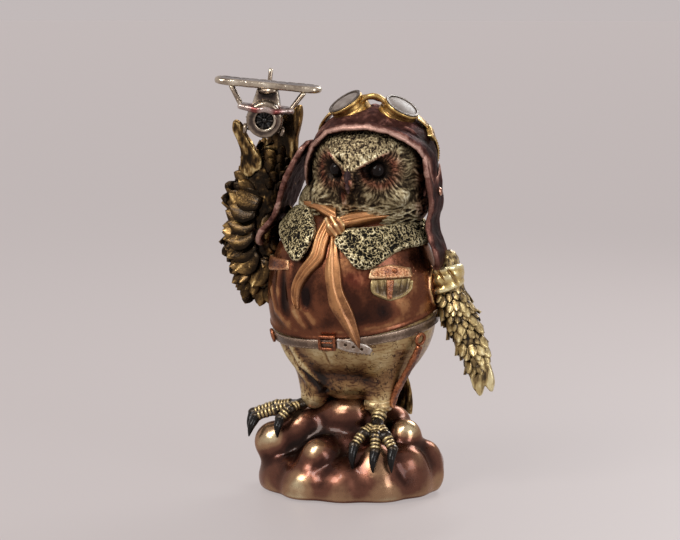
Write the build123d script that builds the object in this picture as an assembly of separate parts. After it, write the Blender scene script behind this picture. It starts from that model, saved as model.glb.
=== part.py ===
"""Owl aviator figurine: a cast, painted owl in flying kit on a mound of rounded rock.

Frame: millimetres, +Z up, origin at the centre of the felt's underside, the owl looks along -Y.
"Right" and "left" are the owl's own, so the right wing lies on -X. The right wing is raised and
holds a toy aeroplane, the left wing hangs down. Each casting is a separate solid. Neighbours meet
face to face, because every piece is cut with the pieces it seats on.
"""
from build123d import *
import math
import os

os.makedirs("parts", exist_ok=True)

# ---------------------------------------------------------------- driving dimensions, millimetres
FELT_THICK = 0.8
FELT_HALF_WIDTH = 37.0
FELT_HALF_DEPTH = 30.0
MOUND_HALF_WIDTH = 38.0
MOUND_HALF_DEPTH = 34.0
MOUND_FORWARD = 5.0
MOUND_HEIGHT = 41.0

HIP_CENTRE = (1.5, 0.0, 86.0)
HIP_HALF_WIDTH = 40.0
HIP_HALF_DEPTH = 36.5
HIP_HALF_HEIGHT = 37.0
LEG_TOP_RADIUS = 16.0
ANKLE_RADIUS = 5.8

CHEST_CENTRE = (0.8, 0.0, 97.0)
CHEST_HALF_WIDTH = 42.5
CHEST_HALF_DEPTH = 38.5
CHEST_HALF_HEIGHT = 50.0
HEM_HEIGHT = 84.5
HEM_RISE_TO_BACK = 0.145
HEM_RISE_TO_LEFT = 0.09

HEAD_CENTRE = (10.0, -2.0, 159.0)
HEAD_HALF_WIDTH = 28.5
HEAD_HALF_DEPTH = 30.5
HEAD_HALF_HEIGHT = 31.0
HELMET_CENTRE = (10.8, 0.0, 160.0)
HELMET_HALF_WIDTH = 31.5
HELMET_HALF_DEPTH = 33.5
HELMET_HALF_HEIGHT = 32.0
HELMET_EDGE_HEIGHT = 137.0
HELMET_BAND_THICK = 1.4
HELMET_BAND_WIDTH = 4.5
FLAP_THICK = 2.8

BELT_THICK = 1.6
BELT_WIDTH = 5.2
BELT_GAP = 0.3
BUCKLE_WIDTH = 9.0
BUCKLE_HEIGHT = 7.6
BUCKLE_BAR = 1.5
BUCKLE_THICK = 1.4
TONGUE_THICK = 1.2

COLLAR_THICK = 4.2
SCARF_THICK = 2.6
SCARF_WRAP_THICK = 5.2
POCKET_THICK = 1.6
POCKET_FLAP_THICK = 2.6
POCKET_STRAP_THICK = 0.8
BUTTON_RADIUS = 1.4

EYE_RADIUS = 4.5
BROW_RADIUS = 1.1
BEAK_RADIUS = 2.9

# lens centre and outward direction of each goggle, right eye first
GOGGLES = [
    ((-1.4, -8.0, 191.0), (-0.44, -0.38, 0.81)),
    ((26.8, -6.0, 189.0), (0.52, -0.22, 0.82)),
]
GOGGLE_CUP_RADIUS = 8.9
GOGGLE_CUP_WALL = 1.5
GOGGLE_CUP_DEPTH = 9.0
GOGGLE_RIM_HEIGHT = 0.7
STRAP_WIDTH = 6.0
STRAP_THICK = 1.6
STRAP_HEIGHT = 182.0

DOWEL_RADIUS = 1.5

PLANE_NOSE = (-41.0, -12.0, 181.5)
PLANE_HEADING = 15.0
PLANE_NOSE_DOWN = 8.0
PLANE_ROLL = 5.7
COWL_RADIUS = 9.0
COWL_LENGTH = 6.0
INTAKE_RADIUS = 4.4
TAIL_Y = 46.0
TAIL_RADIUS = 2.4
TOP_WING_SPAN = 53.0
TOP_WING_CHORD = 11.0
TOP_WING_THICK = 3.4
TOP_WING_Z = 16.0
LOW_WING_SPAN = 27.0
LOW_WING_CHORD = 7.0
LOW_WING_THICK = 3.0
LOW_WING_Z = 5.4
STRUT_RADIUS = 1.1
STRUT_TOP_X = 19.2
WHEEL_RADIUS = 2.7
WHEEL_WIDTH = 2.0
WHEEL_X = 9.2
WHEEL_Z = -5.8

SIDES = (-1, 1)
SEAM_STEP = 7.3        # degrees an ellipsoid's seam turns per millimetre of height, so none line up
REACH = 120.0          # longer than any piece, for cutting prisms and slabs

HIP = (HIP_CENTRE, (HIP_HALF_WIDTH, HIP_HALF_DEPTH, HIP_HALF_HEIGHT))
CHEST = (CHEST_CENTRE, (CHEST_HALF_WIDTH, CHEST_HALF_DEPTH, CHEST_HALF_HEIGHT))
SKULL = (HEAD_CENTRE, (HEAD_HALF_WIDTH, HEAD_HALF_DEPTH, HEAD_HALF_HEIGHT))
DOME = (HELMET_CENTRE, (HELMET_HALF_WIDTH, HELMET_HALF_DEPTH, HELMET_HALF_HEIGHT))


# ---------------------------------------------------------------- shapes that every section uses
def ellipsoid(form, grow=0.0):
    """A (centre, half sizes) form as a solid, its half sizes grown by the same amount."""
    centre, halves = form
    turned = Rot(0, 0, SEAM_STEP * centre[2]) * Sphere(1.0)
    return Pos(*centre) * scale(turned, by=tuple(h + grow for h in halves))


def cut(shape, *tools):
    """A shape with each tool taken out of it in turn."""
    for tool in tools:
        shape = shape - tool
    return shape


def shell(form, inner, outer):
    """The wall between two growths of the same form."""
    return ellipsoid(form, outer) - ellipsoid(form, inner)


def outline(points):
    """A smooth closed face through points (x, z), standing in the XZ plane."""
    return Plane.XZ * make_face(Spline(*points, periodic=True))


def from_front(face):
    """Everything straight in front of a face that stands in the XZ plane."""
    return extrude(face, amount=REACH)


def patch(form, inner, outer, points):
    """A curved plate that lies on a form, with its edge given as seen from the front."""
    return shell(form, inner, outer) & from_front(outline(points))


def rod(start, end, start_radius, end_radius):
    """A straight cone or cylinder between two points."""
    start, end = Vector(*start), Vector(*end)
    along = end - start
    place = Plane(origin=start, z_dir=along)
    base = (Align.CENTER, Align.CENTER, Align.MIN)
    if abs(start_radius - end_radius) < 1e-6:
        return place * Cylinder(start_radius, along.length, align=base)
    return place * Cone(start_radius, end_radius, along.length, align=base)


def limb(points, radii):
    """Rods from point to point with a ball at each, as a finger or toe has."""
    pieces = [Pos(*p) * Sphere(r) for p, r in zip(points, radii)]
    pieces += [rod(points[i], points[i + 1], radii[i], radii[i + 1]) for i in range(len(points) - 1)]
    return pieces[0].fuse(*pieces[1:])


def blade(root, tip, width, thick, facing):
    """A flat feather from root to tip, widest past its middle, whose flat side looks along facing."""
    root, tip, facing = Vector(*root), Vector(*tip), Vector(*facing)
    along = tip - root
    across = along.cross(facing)
    place = Plane(origin=root, x_dir=across, z_dir=across.cross(along))
    length = along.length
    edges = [
        ThreePointArc((0, 0), (width / 2, length * 0.55), (0, length)),
        ThreePointArc((0, length), (-width / 2, length * 0.55), (0, 0)),
    ]
    return place * extrude(make_face(edges), amount=thick / 2, both=True)


def join(pieces):
    """Several overlapping solids as one."""
    pieces = list(pieces)
    return pieces[0].fuse(*pieces[1:]) if len(pieces) > 1 else pieces[0]


def group(pieces):
    """Several separate solids of one node."""
    return Compound(children=[s for p in pieces for s in p.solids()])


def largest(shape):
    """The main solid of a cut piece, without slivers left beside it."""
    return max(shape.solids(), key=lambda s: s.volume)


def slab(place, low, high):
    """The space between two planes parallel to a plane, low and high above it."""
    block = Box(2 * REACH, 2 * REACH, high - low, align=(Align.CENTER, Align.CENTER, Align.MIN))
    return place * Pos(0, 0, low) * block


def surface_point(form, angle, height, out=0.0):
    """The point of a form at a height, angle degrees from +X round towards +Y, and its normal."""
    (cx, cy, cz), (a, b, c) = form
    level = math.sqrt(1 - ((height - cz) / c) ** 2)
    x, y = a * level * math.cos(math.radians(angle)), b * level * math.sin(math.radians(angle))
    normal = Vector(x / a**2, y / b**2, (height - cz) / c**2).normalized()
    return Vector(cx + x, cy + y, height) + normal * out, normal


def front_point(form, x, z, out=0.0):
    """The frontmost point of a form at x and z, and its normal."""
    (cx, cy, cz), (a, b, c) = form
    y = -b * math.sqrt(1 - ((x - cx) / a) ** 2 - ((z - cz) / c) ** 2)
    normal = Vector((x - cx) / a**2, y / b**2, (z - cz) / c**2).normalized()
    return Vector(x, cy + y, z) + normal * out, normal


hem = Plane(
    origin=(HIP_CENTRE[0], 0, HEM_HEIGHT),
    z_dir=(-HEM_RISE_TO_LEFT, -HEM_RISE_TO_BACK, 1),
)
above_hem = slab(hem, 0, REACH)
below_hem = slab(hem, -REACH, 0)

nodes = {}

# ---------------------------------------------------------------- steel dowels that pin the castings
DOWELS = [
    ((-18.5, -8.0, 24.0), (-15.0, -5.0, 62.0)),
    ((15.0, -4.0, 22.0), (16.0, -5.0, 62.0)),
    ((-28.0, 2.0, 106.0), (-46.0, 2.0, 106.0)),
    ((34.0, 1.0, 98.0), (50.0, 1.0, 98.0)),
]
dowels = [rod(a, b, DOWEL_RADIUS, DOWEL_RADIUS) for a, b in DOWELS]
nodes["dowel_pins"] = group(dowels)


def drilled(shape):
    """A casting with the dowels' holes in it."""
    return cut(shape, *dowels)


# ---------------------------------------------------------------- mound of rounded rock, and felt
# centre x, y, z and radius of each rounded lump, front row first
LUMPS = [
    (-13.5, -33.0, 6.0, 12.0), (5.0, -34.5, 6.0, 12.0), (22.0, -30.0, 7.0, 12.0),
    (-33.0, -14.0, 6.5, 11.0), (38.0, -4.0, 8.5, 10.0), (-28.0, -22.0, 8.0, 10.0),
    (34.0, -18.0, 8.0, 10.0), (-35.0, -15.0, 23.5, 11.0), (-9.0, -30.0, 21.0, 8.5),
    (19.0, -26.0, 17.0, 11.0), (32.5, -19.5, 16.5, 9.5), (37.0, -3.0, 17.5, 9.0),
    (29.5, -10.0, 29.0, 8.5), (-5.0, -7.0, 35.0, 12.0), (-22.0, -11.0, 30.0, 11.0),
    (20.0, 2.0, 32.0, 10.0), (7.0, -1.0, 34.0, 12.0), (-36.0, 4.0, 13.0, 11.0),
    (-27.0, 19.0, 10.0, 12.0), (-9.0, 24.0, 10.0, 12.0), (9.0, 24.0, 9.0, 12.0),
    (26.0, 17.0, 10.0, 12.0), (35.0, 8.0, 12.0, 10.0), (0.0, 8.0, 32.0, 12.0),
    (-20.0, 8.0, 27.0, 12.0),
]
LUMP_TURN = 31.0       # each ball is turned, so that no two balls' seams line up
mound = ellipsoid(((0, -MOUND_FORWARD, 0), (MOUND_HALF_WIDTH, MOUND_HALF_DEPTH, MOUND_HEIGHT)))
for i, (x, y, z, radius) in enumerate(LUMPS):
    mound = mound.fuse(Pos(x, y, z) * Rot(LUMP_TURN * (i + 1), 0, LUMP_TURN * i) * Sphere(radius))
mound = mound & slab(Plane.XY, FELT_THICK, REACH)
felt = extrude(Ellipse(FELT_HALF_WIDTH, FELT_HALF_DEPTH), amount=FELT_THICK)
nodes["felt_sheet"] = felt

# ---------------------------------------------------------------- breeches
RIGHT_LEG_TOP = (-13.5, -4.0, 68.0)
RIGHT_LEG_END = (-16.5, -11.0, 45.5)
LEFT_LEG_TOP = (18.0, -5.0, 68.0)
LEFT_LEG_END = (17.0, -14.0, 44.0)
SEAT = ((1.0, -5.0, 57.0), (19.0, 20.0, 11.0))
breeches = join([
    ellipsoid(HIP),
    ellipsoid(SEAT),
    limb([RIGHT_LEG_TOP, RIGHT_LEG_END], [LEG_TOP_RADIUS, ANKLE_RADIUS]),
    limb([LEFT_LEG_TOP, LEFT_LEG_END], [LEG_TOP_RADIUS, ANKLE_RADIUS]),
]) & below_hem
mound = mound - breeches

# ---------------------------------------------------------------- feet and claws
RIGHT_ANKLE = (-21.0, -14.0, 43.0)
RIGHT_TOES = [
    [(-36.0, -9.0, 40.5), (-48.0, -10.0, 36.5)],
    [(-34.0, -17.0, 39.5), (-44.0, -18.5, 36.0)],
    [(-26.0, -20.0, 41.0), (-30.0, -23.5, 36.5)],
]
RIGHT_CLAW_TIPS = [(-49.5, -12.0, 26.5), (-46.5, -22.5, 27.0), (-30.5, -27.0, 28.0)]
LEFT_ANKLE = (18.8, -18.0, 41.0)
LEFT_INSTEP = (18.4, -22.5, 36.5)
LEFT_TOES = [
    [(14.0, -30.0, 32.5), (10.6, -35.5, 27.4)],
    [(20.0, -31.0, 31.5), (21.0, -36.0, 25.0)],
    [(24.5, -29.0, 31.5), (29.0, -33.0, 26.0)],
]
LEFT_CLAW_TIPS = [(10.4, -38.0, 16.0), (20.8, -39.0, 15.5), (29.3, -36.5, 15.6)]
TOE_RADII = (2.6, 2.3, 2.0)
ANKLE_BONE_RADIUS = 3.0
CLAW_ROOT_RADIUS = 1.9
CLAW_TIP_RADIUS = 0.35
CLAW_BEND = 2.2          # how far the claw bows forward at its middle


def claw(toe_end, tip):
    """A curved horn from the end of a toe to its tip."""
    toe_end, tip = Vector(*toe_end), Vector(*tip)
    middle = toe_end * 0.55 + tip * 0.45 + Vector(0, -CLAW_BEND, 0)
    mid_radius = CLAW_ROOT_RADIUS * 0.75
    points = [tuple(toe_end), tuple(middle), tuple(tip)]
    return limb(points, [CLAW_ROOT_RADIUS, mid_radius, CLAW_TIP_RADIUS])


def foot(shank, toes):
    """The shank and the toes that spread from its end."""
    stem = limb(shank, [ANKLE_BONE_RADIUS] * len(shank))
    return join([stem, *(limb([shank[-1], *toe], TOE_RADII) for toe in toes)])


right_foot = foot([RIGHT_LEG_END, RIGHT_ANKLE], RIGHT_TOES) - breeches - mound
left_foot = foot([LEFT_LEG_END, LEFT_ANKLE, LEFT_INSTEP], LEFT_TOES) - breeches - mound
right_foot, left_foot = largest(right_foot), largest(left_foot)
nodes["right_claws"] = group(
    largest(claw(toe[-1], tip) - right_foot - mound) for toe, tip in zip(RIGHT_TOES, RIGHT_CLAW_TIPS)
)
nodes["left_claws"] = group(
    largest(claw(toe[-1], tip) - left_foot - mound) for toe, tip in zip(LEFT_TOES, LEFT_CLAW_TIPS)
)
CUFF_HEIGHT = 3.6
CUFF_WALL = 1.0
cuff_low = Vector(*LEFT_LEG_END) + Vector(0, 0, -CUFF_HEIGHT / 2)
cuff_base = (Align.CENTER, Align.CENTER, Align.MIN)
cuff = Pos(*cuff_low) * Cylinder(ANKLE_RADIUS + CUFF_WALL, CUFF_HEIGHT, align=cuff_base)
nodes["ankle_cuff"] = largest(cuff - breeches - left_foot)

# ---------------------------------------------------------------- tail
TAIL_ROOT = (4.0, 24.0, 74.0)
TAIL_TIPS = [
    (-12.0, 33.0, 38.0), (-4.0, 35.5, 31.0), (5.0, 36.5, 27.5), (14.5, 36.0, 27.5), (22.5, 34.0, 30.5),
]
TAIL_FEATHER_WIDTH = 14.0
TAIL_FEATHER_THICK = 2.6
tail = join(
    blade(TAIL_ROOT, tip, TAIL_FEATHER_WIDTH, TAIL_FEATHER_THICK, (0, 1, 0)) for tip in TAIL_TIPS
)
nodes["tail_feathers"] = largest(tail - breeches - mound)

# ---------------------------------------------------------------- head, eyes, brows and beak
NECK = ((6.5, -1.0, 142.0), (32.5, 26.0, 17.0))
skull = ellipsoid(SKULL) + ellipsoid(NECK)
EYE_SEATS = [(-1.2, 159.8), (20.9, 159.4)]     # x and z on the skull
EYE_SINK = 3.0
eyes = []
for x, z in EYE_SEATS:
    seat, _ = front_point(SKULL, x, z, -EYE_SINK)
    eyes.append(Pos(*seat) * Sphere(EYE_RADIUS))
head = skull
for eye in eyes:
    head = head - eye
nodes["eyes"] = group(eyes)
BEAK_ROOT = (7.0, -31.5, 159.0)
BEAK_MIDDLE = (7.2, -35.8, 155.0)
BEAK_TIP = (7.6, -36.5, 148.5)
BEAK_TIP_RADIUS = 0.6
beak_radii = [BEAK_RADIUS, BEAK_RADIUS * 0.7, BEAK_TIP_RADIUS]
beak = limb([BEAK_ROOT, BEAK_MIDDLE, BEAK_TIP], beak_radii) - head
nodes["beak"] = largest(beak)
BROWS = [[(5.3, 159.6), (1.0, 164.0), (-4.2, 168.4)], [(9.3, 159.6), (17.3, 164.2), (26.0, 168.6)]]
BROW_STAND = 0.5
brows = []
for line in BROWS:
    points = [tuple(front_point(SKULL, x, z, BROW_STAND)[0]) for x, z in line]
    brows.append(largest(limb(points, [BROW_RADIUS] * len(points)) - head - beak - eyes[0] - eyes[1]))
nodes["brow_ridges"] = group(brows)

# ---------------------------------------------------------------- helmet, band and crown seam
FACE_ARCH = [
    (-19.2, 128.0), (-18.6, 150.0), (-17.0, 160.0), (-12.8, 169.0), (-5.0, 175.4),
    (4.0, 177.4), (14.5, 177.8), (24.0, 176.0), (31.0, 172.5), (36.6, 168.0),
    (39.4, 163.0), (40.4, 156.0), (39.6, 146.0), (36.0, 128.0),
]
FACE_OPENING_BACK = -6.0
CROWN_SEAM_WIDTH = 2.4
CROWN_SEAM_HEIGHT = 0.8
CROWN_SEAM_SINK = 0.5


def arch_prism(grow):
    """The face opening's space, its arch grown outward from the middle of the face."""
    cx, _, cz = HEAD_CENTRE
    points = []
    for x, z in FACE_ARCH:
        away = math.hypot(x - cx, z - cz)
        points.append((x + (x - cx) / away * grow, z + (z - cz) / away * grow))
    face = Plane.XZ * make_face([Spline(*points), Line(points[-1], points[0])])
    return Pos(0, FACE_OPENING_BACK, 0) * from_front(face)


dome = ellipsoid(DOME)
opening = arch_prism(0)
above_edge = slab(Plane.XY, HELMET_EDGE_HEIGHT, 2 * REACH)
helmet = largest(cut(dome, ellipsoid(SKULL), ellipsoid(NECK), opening) & above_edge)
band_zone = (arch_prism(HELMET_BAND_WIDTH) - opening) & above_edge
helmet_band = shell(DOME, 0, HELMET_BAND_THICK) & band_zone
helmet_band = largest(cut(helmet_band, ellipsoid(NECK), ellipsoid(SKULL)))
seam_box = Pos(HELMET_CENTRE[0], 0, HELMET_CENTRE[2]) * Box(CROWN_SEAM_WIDTH, REACH, REACH)
seam_form = shell(DOME, -CROWN_SEAM_SINK, CROWN_SEAM_HEIGHT) & seam_box
crown_seam = seam_form & above_edge
helmet = largest(helmet + (crown_seam - opening - helmet_band))

# ---------------------------------------------------------------- jacket and the wing roots it carries
jacket = cut(drilled(ellipsoid(CHEST)), ellipsoid(NECK), ellipsoid(SKULL), below_hem, helmet)

# ---------------------------------------------------------------- raised right wing
RAISED_WING_LOBES = [
    ((-46.5, 2.0, 106.5), (12.5, 7.5, 12.0)),
    ((-50.5, 2.5, 122.0), (13.0, 7.0, 15.0)),
    ((-48.5, 3.5, 140.0), (13.5, 6.5, 16.0)),
    ((-43.0, 4.0, 155.0), (13.0, 6.0, 12.5)),
]
COVERT_COUNT = 11
COVERT_CENTRE = (-47.0, 3.0, 125.0)
COVERT_REACH = (19.3, 32.5)
COVERT_ROOT = (-41.0, 133.0)
COVERT_DROOP = 0.6
COVERT_STAGGER = 1.2
COVERT_FIRST_ANGLE = 128.0
COVERT_LAST_ANGLE = 256.0
COVERT_LENGTH = 13.0
COVERT_WIDTH = 9.5
COVERT_THICK = 3.4


def edge_coverts():
    """The feathers that scallop the wing's outer edge, each pointing out from the wing's root."""
    cx, cy, cz = COVERT_CENTRE
    reach_x, reach_z = COVERT_REACH
    root_x, root_z = COVERT_ROOT
    for i in range(COVERT_COUNT):
        turn = COVERT_FIRST_ANGLE + (COVERT_LAST_ANGLE - COVERT_FIRST_ANGLE) * i / (COVERT_COUNT - 1)
        a = math.radians(turn)
        stagger = COVERT_STAGGER * (i % 2)
        tip = Vector(cx + reach_x * math.cos(a), cy - stagger, cz + reach_z * math.sin(a))
        inward = Vector(root_x - tip.X, 0, (root_z - tip.Z) * COVERT_DROOP).normalized()
        root = tip + inward * COVERT_LENGTH
        yield blade(tuple(root), tuple(tip), COVERT_WIDTH, COVERT_THICK, (0, -1, 0))


raised_wing = join([*(ellipsoid(lobe) for lobe in RAISED_WING_LOBES), *edge_coverts()])
raised_wing = raised_wing - jacket - helmet
# outlines (x, z) of the two feathers that grip the aeroplane, with their front and back y
OUTER_FINGER = [
    (-57.6, 182.6), (-55.4, 181.8), (-53.2, 177.8), (-51.8, 173.8), (-49.8, 170.0), (-47.4, 166.6),
    (-45.0, 160.0), (-50.0, 153.0), (-56.0, 154.5), (-56.4, 161.0), (-55.8, 166.8), (-57.2, 172.6),
    (-58.6, 176.8), (-58.6, 181.0),
]
INNER_FINGER = [
    (-26.4, 188.4), (-26.8, 181.0), (-28.4, 174.0), (-29.0, 162.0), (-31.0, 153.0), (-40.0, 151.5),
    (-46.0, 154.0), (-48.4, 164.4), (-46.2, 167.8), (-43.4, 171.8), (-41.2, 176.4), (-38.0, 181.4),
    (-34.0, 185.6), (-29.8, 188.0),
]
OUTER_FINGER_Y = (-1.5, 3.0)
INNER_FINGER_Y = (1.0, 6.5)
FINGER_HINGE_HEIGHT = 153.0
OUTER_FINGER_LEAN = 17.0      # degrees forward, so that it reaches the wheel


def plate(points, span, lean):
    """A flat piece with a smooth outline (x, z) that fills a span of y and leans forward."""
    front, back = span
    flat = Pos(0, back, -FINGER_HINGE_HEIGHT) * extrude(outline(points), amount=back - front)
    return Pos(0, 0, FINGER_HINGE_HEIGHT) * Rot(lean, 0, 0) * flat


fingers = join([
    plate(OUTER_FINGER, OUTER_FINGER_Y, OUTER_FINGER_LEAN),
    plate(INNER_FINGER, INNER_FINGER_Y, 0),
])

# ---------------------------------------------------------------- hanging left wing
LOWERED_WING_LOBES = [
    ((48.6, 1.0, 109.5), (5.6, 6.5, 10.0)),
    ((49.8, 1.0, 97.0), (8.4, 6.5, 12.0)),
    ((52.8, 1.3, 88.0), (8.6, 6.2, 11.0)),
    ((57.0, 1.6, 80.0), (7.8, 5.8, 11.5)),
    ((61.0, 2.0, 70.0), (6.2, 5.0, 12.0)),
]
LOWERED_FINGERS = [
    ((61.0, 2.0, 68.0), (64.6, 2.0, 47.4), 7.0, 4.4),
    ((65.0, 2.0, 68.0), (70.3, 2.0, 49.8), 6.0, 4.0),
]
LOWERED_COVERTS = [
    ((52.0, 1.0, 102.0), (59.2, 1.0, 92.6)), ((54.0, 1.2, 96.0), (62.0, 1.2, 86.5)),
    ((57.0, 1.5, 89.0), (65.0, 1.5, 79.5)), ((60.0, 1.8, 82.0), (67.0, 1.8, 71.5)),
]
lowered_wing = join([
    *(ellipsoid(lobe) for lobe in LOWERED_WING_LOBES),
    *(blade(root, tip, COVERT_WIDTH, COVERT_THICK, (0, -1, 0)) for root, tip in LOWERED_COVERTS),
]) - jacket
SLEEVE_BAND = ((47.8, 1.0, 105.0), (7.4, 8.2, 6.0))
sleeve_band = ellipsoid(SLEEVE_BAND) - lowered_wing - jacket
nodes["sleeve_band"] = largest(sleeve_band)
lowered_fingers = join(blade(r, t, w, k, (0, -1, 0)) for r, t, w, k in LOWERED_FINGERS)
nodes["lowered_wing_fingers"] = group([lowered_fingers - lowered_wing])

# ---------------------------------------------------------------- scarf knot, then the collar round it
KNOT = ((0.2, -31.5, 132.0), (4.8, 4.4, 5.2))
knot = largest(cut(ellipsoid(KNOT), ellipsoid(CHEST), ellipsoid(NECK)))
RIGHT_COLLAR = [
    (-10.5, 131.0), (-13.5, 136.0), (-20.5, 143.0), (-26.5, 140.0), (-34.0, 131.0),
    (-28.5, 124.0), (-18.0, 115.6), (-13.0, 122.0),
]
LEFT_COLLAR = [
    (1.0, 127.0), (4.0, 130.4), (12.0, 131.6), (24.0, 132.6), (34.0, 133.0), (41.0, 130.0),
    (40.5, 124.0), (33.0, 122.0), (25.5, 118.0), (19.0, 113.4), (12.5, 113.4), (6.0, 120.0),
]
COLLAR_BACK_LOW = 122.0
COLLAR_BACK_HIGH = 136.0
COLLAR_BACK_START = 3.0
right_collar = cut(patch(CHEST, 0, COLLAR_THICK, RIGHT_COLLAR), ellipsoid(NECK), helmet, knot)
left_collar = cut(patch(CHEST, 0, COLLAR_THICK, LEFT_COLLAR), ellipsoid(NECK), helmet, knot, right_collar)
right_collar, left_collar = largest(right_collar - raised_wing), largest(left_collar)
behind = Pos(0, COLLAR_BACK_START + REACH / 2, 0) * Box(2 * REACH, REACH, 4 * REACH)
back_band = slab(Plane.XY, COLLAR_BACK_LOW, COLLAR_BACK_HIGH)
back_collar = shell(CHEST, 0, COLLAR_THICK) & behind & back_band
back_collar = cut(back_collar, ellipsoid(NECK), helmet, left_collar, right_collar)
back_collar = cut(back_collar, raised_wing, lowered_wing)
nodes["back_collar"] = largest(back_collar)
nodes["right_collar"] = right_collar
nodes["left_collar"] = left_collar

# ---------------------------------------------------------------- ear flaps of the helmet
RIGHT_FLAP_LINE = [
    (-17.8, 172.0), (-23.4, 163.5), (-30.0, 151.5), (-34.4, 138.5), (-38.4, 132.0),
    (-44.0, 126.0), (-45.2, 119.5),
]
LEFT_FLAP_LINE = [
    (39.6, 166.0), (41.2, 157.0), (42.2, 148.0), (42.8, 140.0), (41.2, 133.5),
    (42.2, 127.5), (45.0, 121.5), (46.6, 116.5), (44.0, 110.5),
]
RIGHT_FLAP_SIDE = [
    (-19.0, 168.0), (-18.0, 152.0), (-15.0, 138.0), (-12.0, 126.0), (-6.0, 118.6), (1.0, 119.6),
    (9.0, 132.0), (17.0, 146.0), (17.0, 160.0), (6.0, 172.0), (-8.0, 174.0),
]
LEFT_FLAP_SIDE = [
    (-17.0, 166.0), (-15.0, 150.0), (-13.0, 138.0), (-15.0, 128.0), (-18.5, 119.0), (-14.0, 111.5),
    (-4.0, 111.0), (3.0, 116.0), (7.0, 130.0), (10.0, 146.0), (9.0, 164.0), (-4.0, 170.0),
]


def bent_sheet(line, side):
    """A sheet that follows a line (x, z) seen from the front, trimmed to a side outline (y, z)."""
    edges = {-1: [], 1: []}
    for i, (x, z) in enumerate(line):
        before, after = line[max(i - 1, 0)], line[min(i + 1, len(line) - 1)]
        dx, dz = after[0] - before[0], after[1] - before[1]
        length = math.hypot(dx, dz)
        for way in edges:
            offset = way * FLAP_THICK / 2
            edges[way].append((x - dz / length * offset, z + dx / length * offset))
    low, high = edges[-1], edges[1]
    ends = [Line(low[0], high[0]), Line(low[-1], high[-1])]
    profile = Plane.XZ * make_face([Spline(*low), Spline(*high), *ends])
    trim = Plane.YZ * make_face(Spline(*side, periodic=True))
    return extrude(profile, amount=REACH / 2, both=True) & extrude(trim, amount=REACH, both=True)


seats = [helmet, helmet_band, jacket, left_collar, right_collar, nodes["back_collar"], nodes["sleeve_band"]]
right_flap = bent_sheet(RIGHT_FLAP_LINE, RIGHT_FLAP_SIDE) - skull
left_flap = bent_sheet(LEFT_FLAP_LINE, LEFT_FLAP_SIDE) - skull
for seat in seats:
    right_flap, left_flap = right_flap - seat, left_flap - seat
right_flap = largest(right_flap - raised_wing)
left_flap = largest(left_flap - lowered_wing)
nodes["right_ear_flap"] = right_flap
nodes["left_ear_flap"] = left_flap
STUD_RADIUS = 2.4
STUD_STAND = 1.2
STUD_SINK = 0.6
STUD_Z = 147.5
STUD_Y = 0.5


def stud(line, side):
    """A domed stud seated on the outer face of an ear flap, on its side -1 or 1."""
    (x0, z0), (x1, z1) = next((a, b) for a, b in zip(line, line[1:]) if a[1] >= STUD_Z >= b[1])
    x = x0 + (x1 - x0) * (STUD_Z - z0) / (z1 - z0)
    centre = Vector(x + side * FLAP_THICK / 2, STUD_Y, STUD_Z)
    return Pos(*centre) * scale(Sphere(1.0), by=(STUD_STAND + STUD_SINK, STUD_RADIUS, STUD_RADIUS))


studs = [stud(RIGHT_FLAP_LINE, -1) - right_flap - raised_wing, stud(LEFT_FLAP_LINE, 1) - left_flap]
nodes["flap_studs"] = group(largest(s - helmet) for s in studs)

# ---------------------------------------------------------------- scarf
RIGHT_TAIL = [
    (-5.4, 136.0), (-9.6, 127.6), (-11.4, 119.0), (-16.4, 111.6), (-19.4, 104.8), (-19.8, 98.6),
    (-17.2, 92.5), (-15.4, 92.5), (-16.2, 98.0), (-15.0, 103.6), (-10.4, 109.8), (-4.0, 116.0),
    (-2.6, 124.0), (-2.4, 131.0),
]
LEFT_TAIL = [
    (-1.0, 129.0), (-2.0, 121.5), (-3.6, 112.0), (-2.0, 102.5), (1.0, 95.0), (7.0, 86.0),
    (11.0, 79.5), (13.0, 79.5), (12.4, 86.0), (10.5, 94.0), (6.0, 103.0), (4.8, 112.0),
    (2.2, 122.0), (1.6, 128.5),
]
LEFT_TAIL_END = [(7.5, 84.0), (9.5, 78.5), (12.6, 75.4), (14.0, 78.5), (14.0, 84.0)]
LEFT_TAIL_EXTRA = 1.0
nodes["scarf_knot"] = knot
LEFT_WRAP = [
    (3.0, 131.0), (8.0, 135.4), (15.0, 136.8), (24.0, 134.6), (20.0, 133.2), (12.0, 132.4), (6.0, 130.0),
]
RIGHT_WRAP = [
    (0.0, 131.5), (-4.0, 134.6), (-11.0, 137.0), (-17.0, 137.6), (-12.0, 140.4), (-4.0, 138.4),
    (1.0, 135.5),
]
wraps = [patch(CHEST, 0, SCARF_WRAP_THICK, line) - skull - knot for line in (LEFT_WRAP, RIGHT_WRAP)]
wraps = [largest(wrap - left_collar - right_collar) for wrap in wraps]
nodes["scarf_wrap"] = group(wraps)
tail_top = patch(CHEST, 0, SCARF_THICK + LEFT_TAIL_EXTRA, LEFT_TAIL) & above_hem
TAIL_END_STAND = BELT_THICK + TONGUE_THICK + 0.1
TAIL_END_THICK = 1.7
tail_end = patch(HIP, TAIL_END_STAND, TAIL_END_STAND + TAIL_END_THICK, LEFT_TAIL_END)
left_tail = tail_top + tail_end - jacket - left_collar - right_collar - nodes["scarf_knot"]
left_tail = largest(left_tail)
right_tail = patch(CHEST, 0, SCARF_THICK, RIGHT_TAIL) & above_hem
right_tail = cut(right_tail, left_tail, left_collar, right_collar, knot, *wraps)
nodes["left_scarf_tail"] = left_tail
nodes["right_scarf_tail"] = largest(right_tail)

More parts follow.
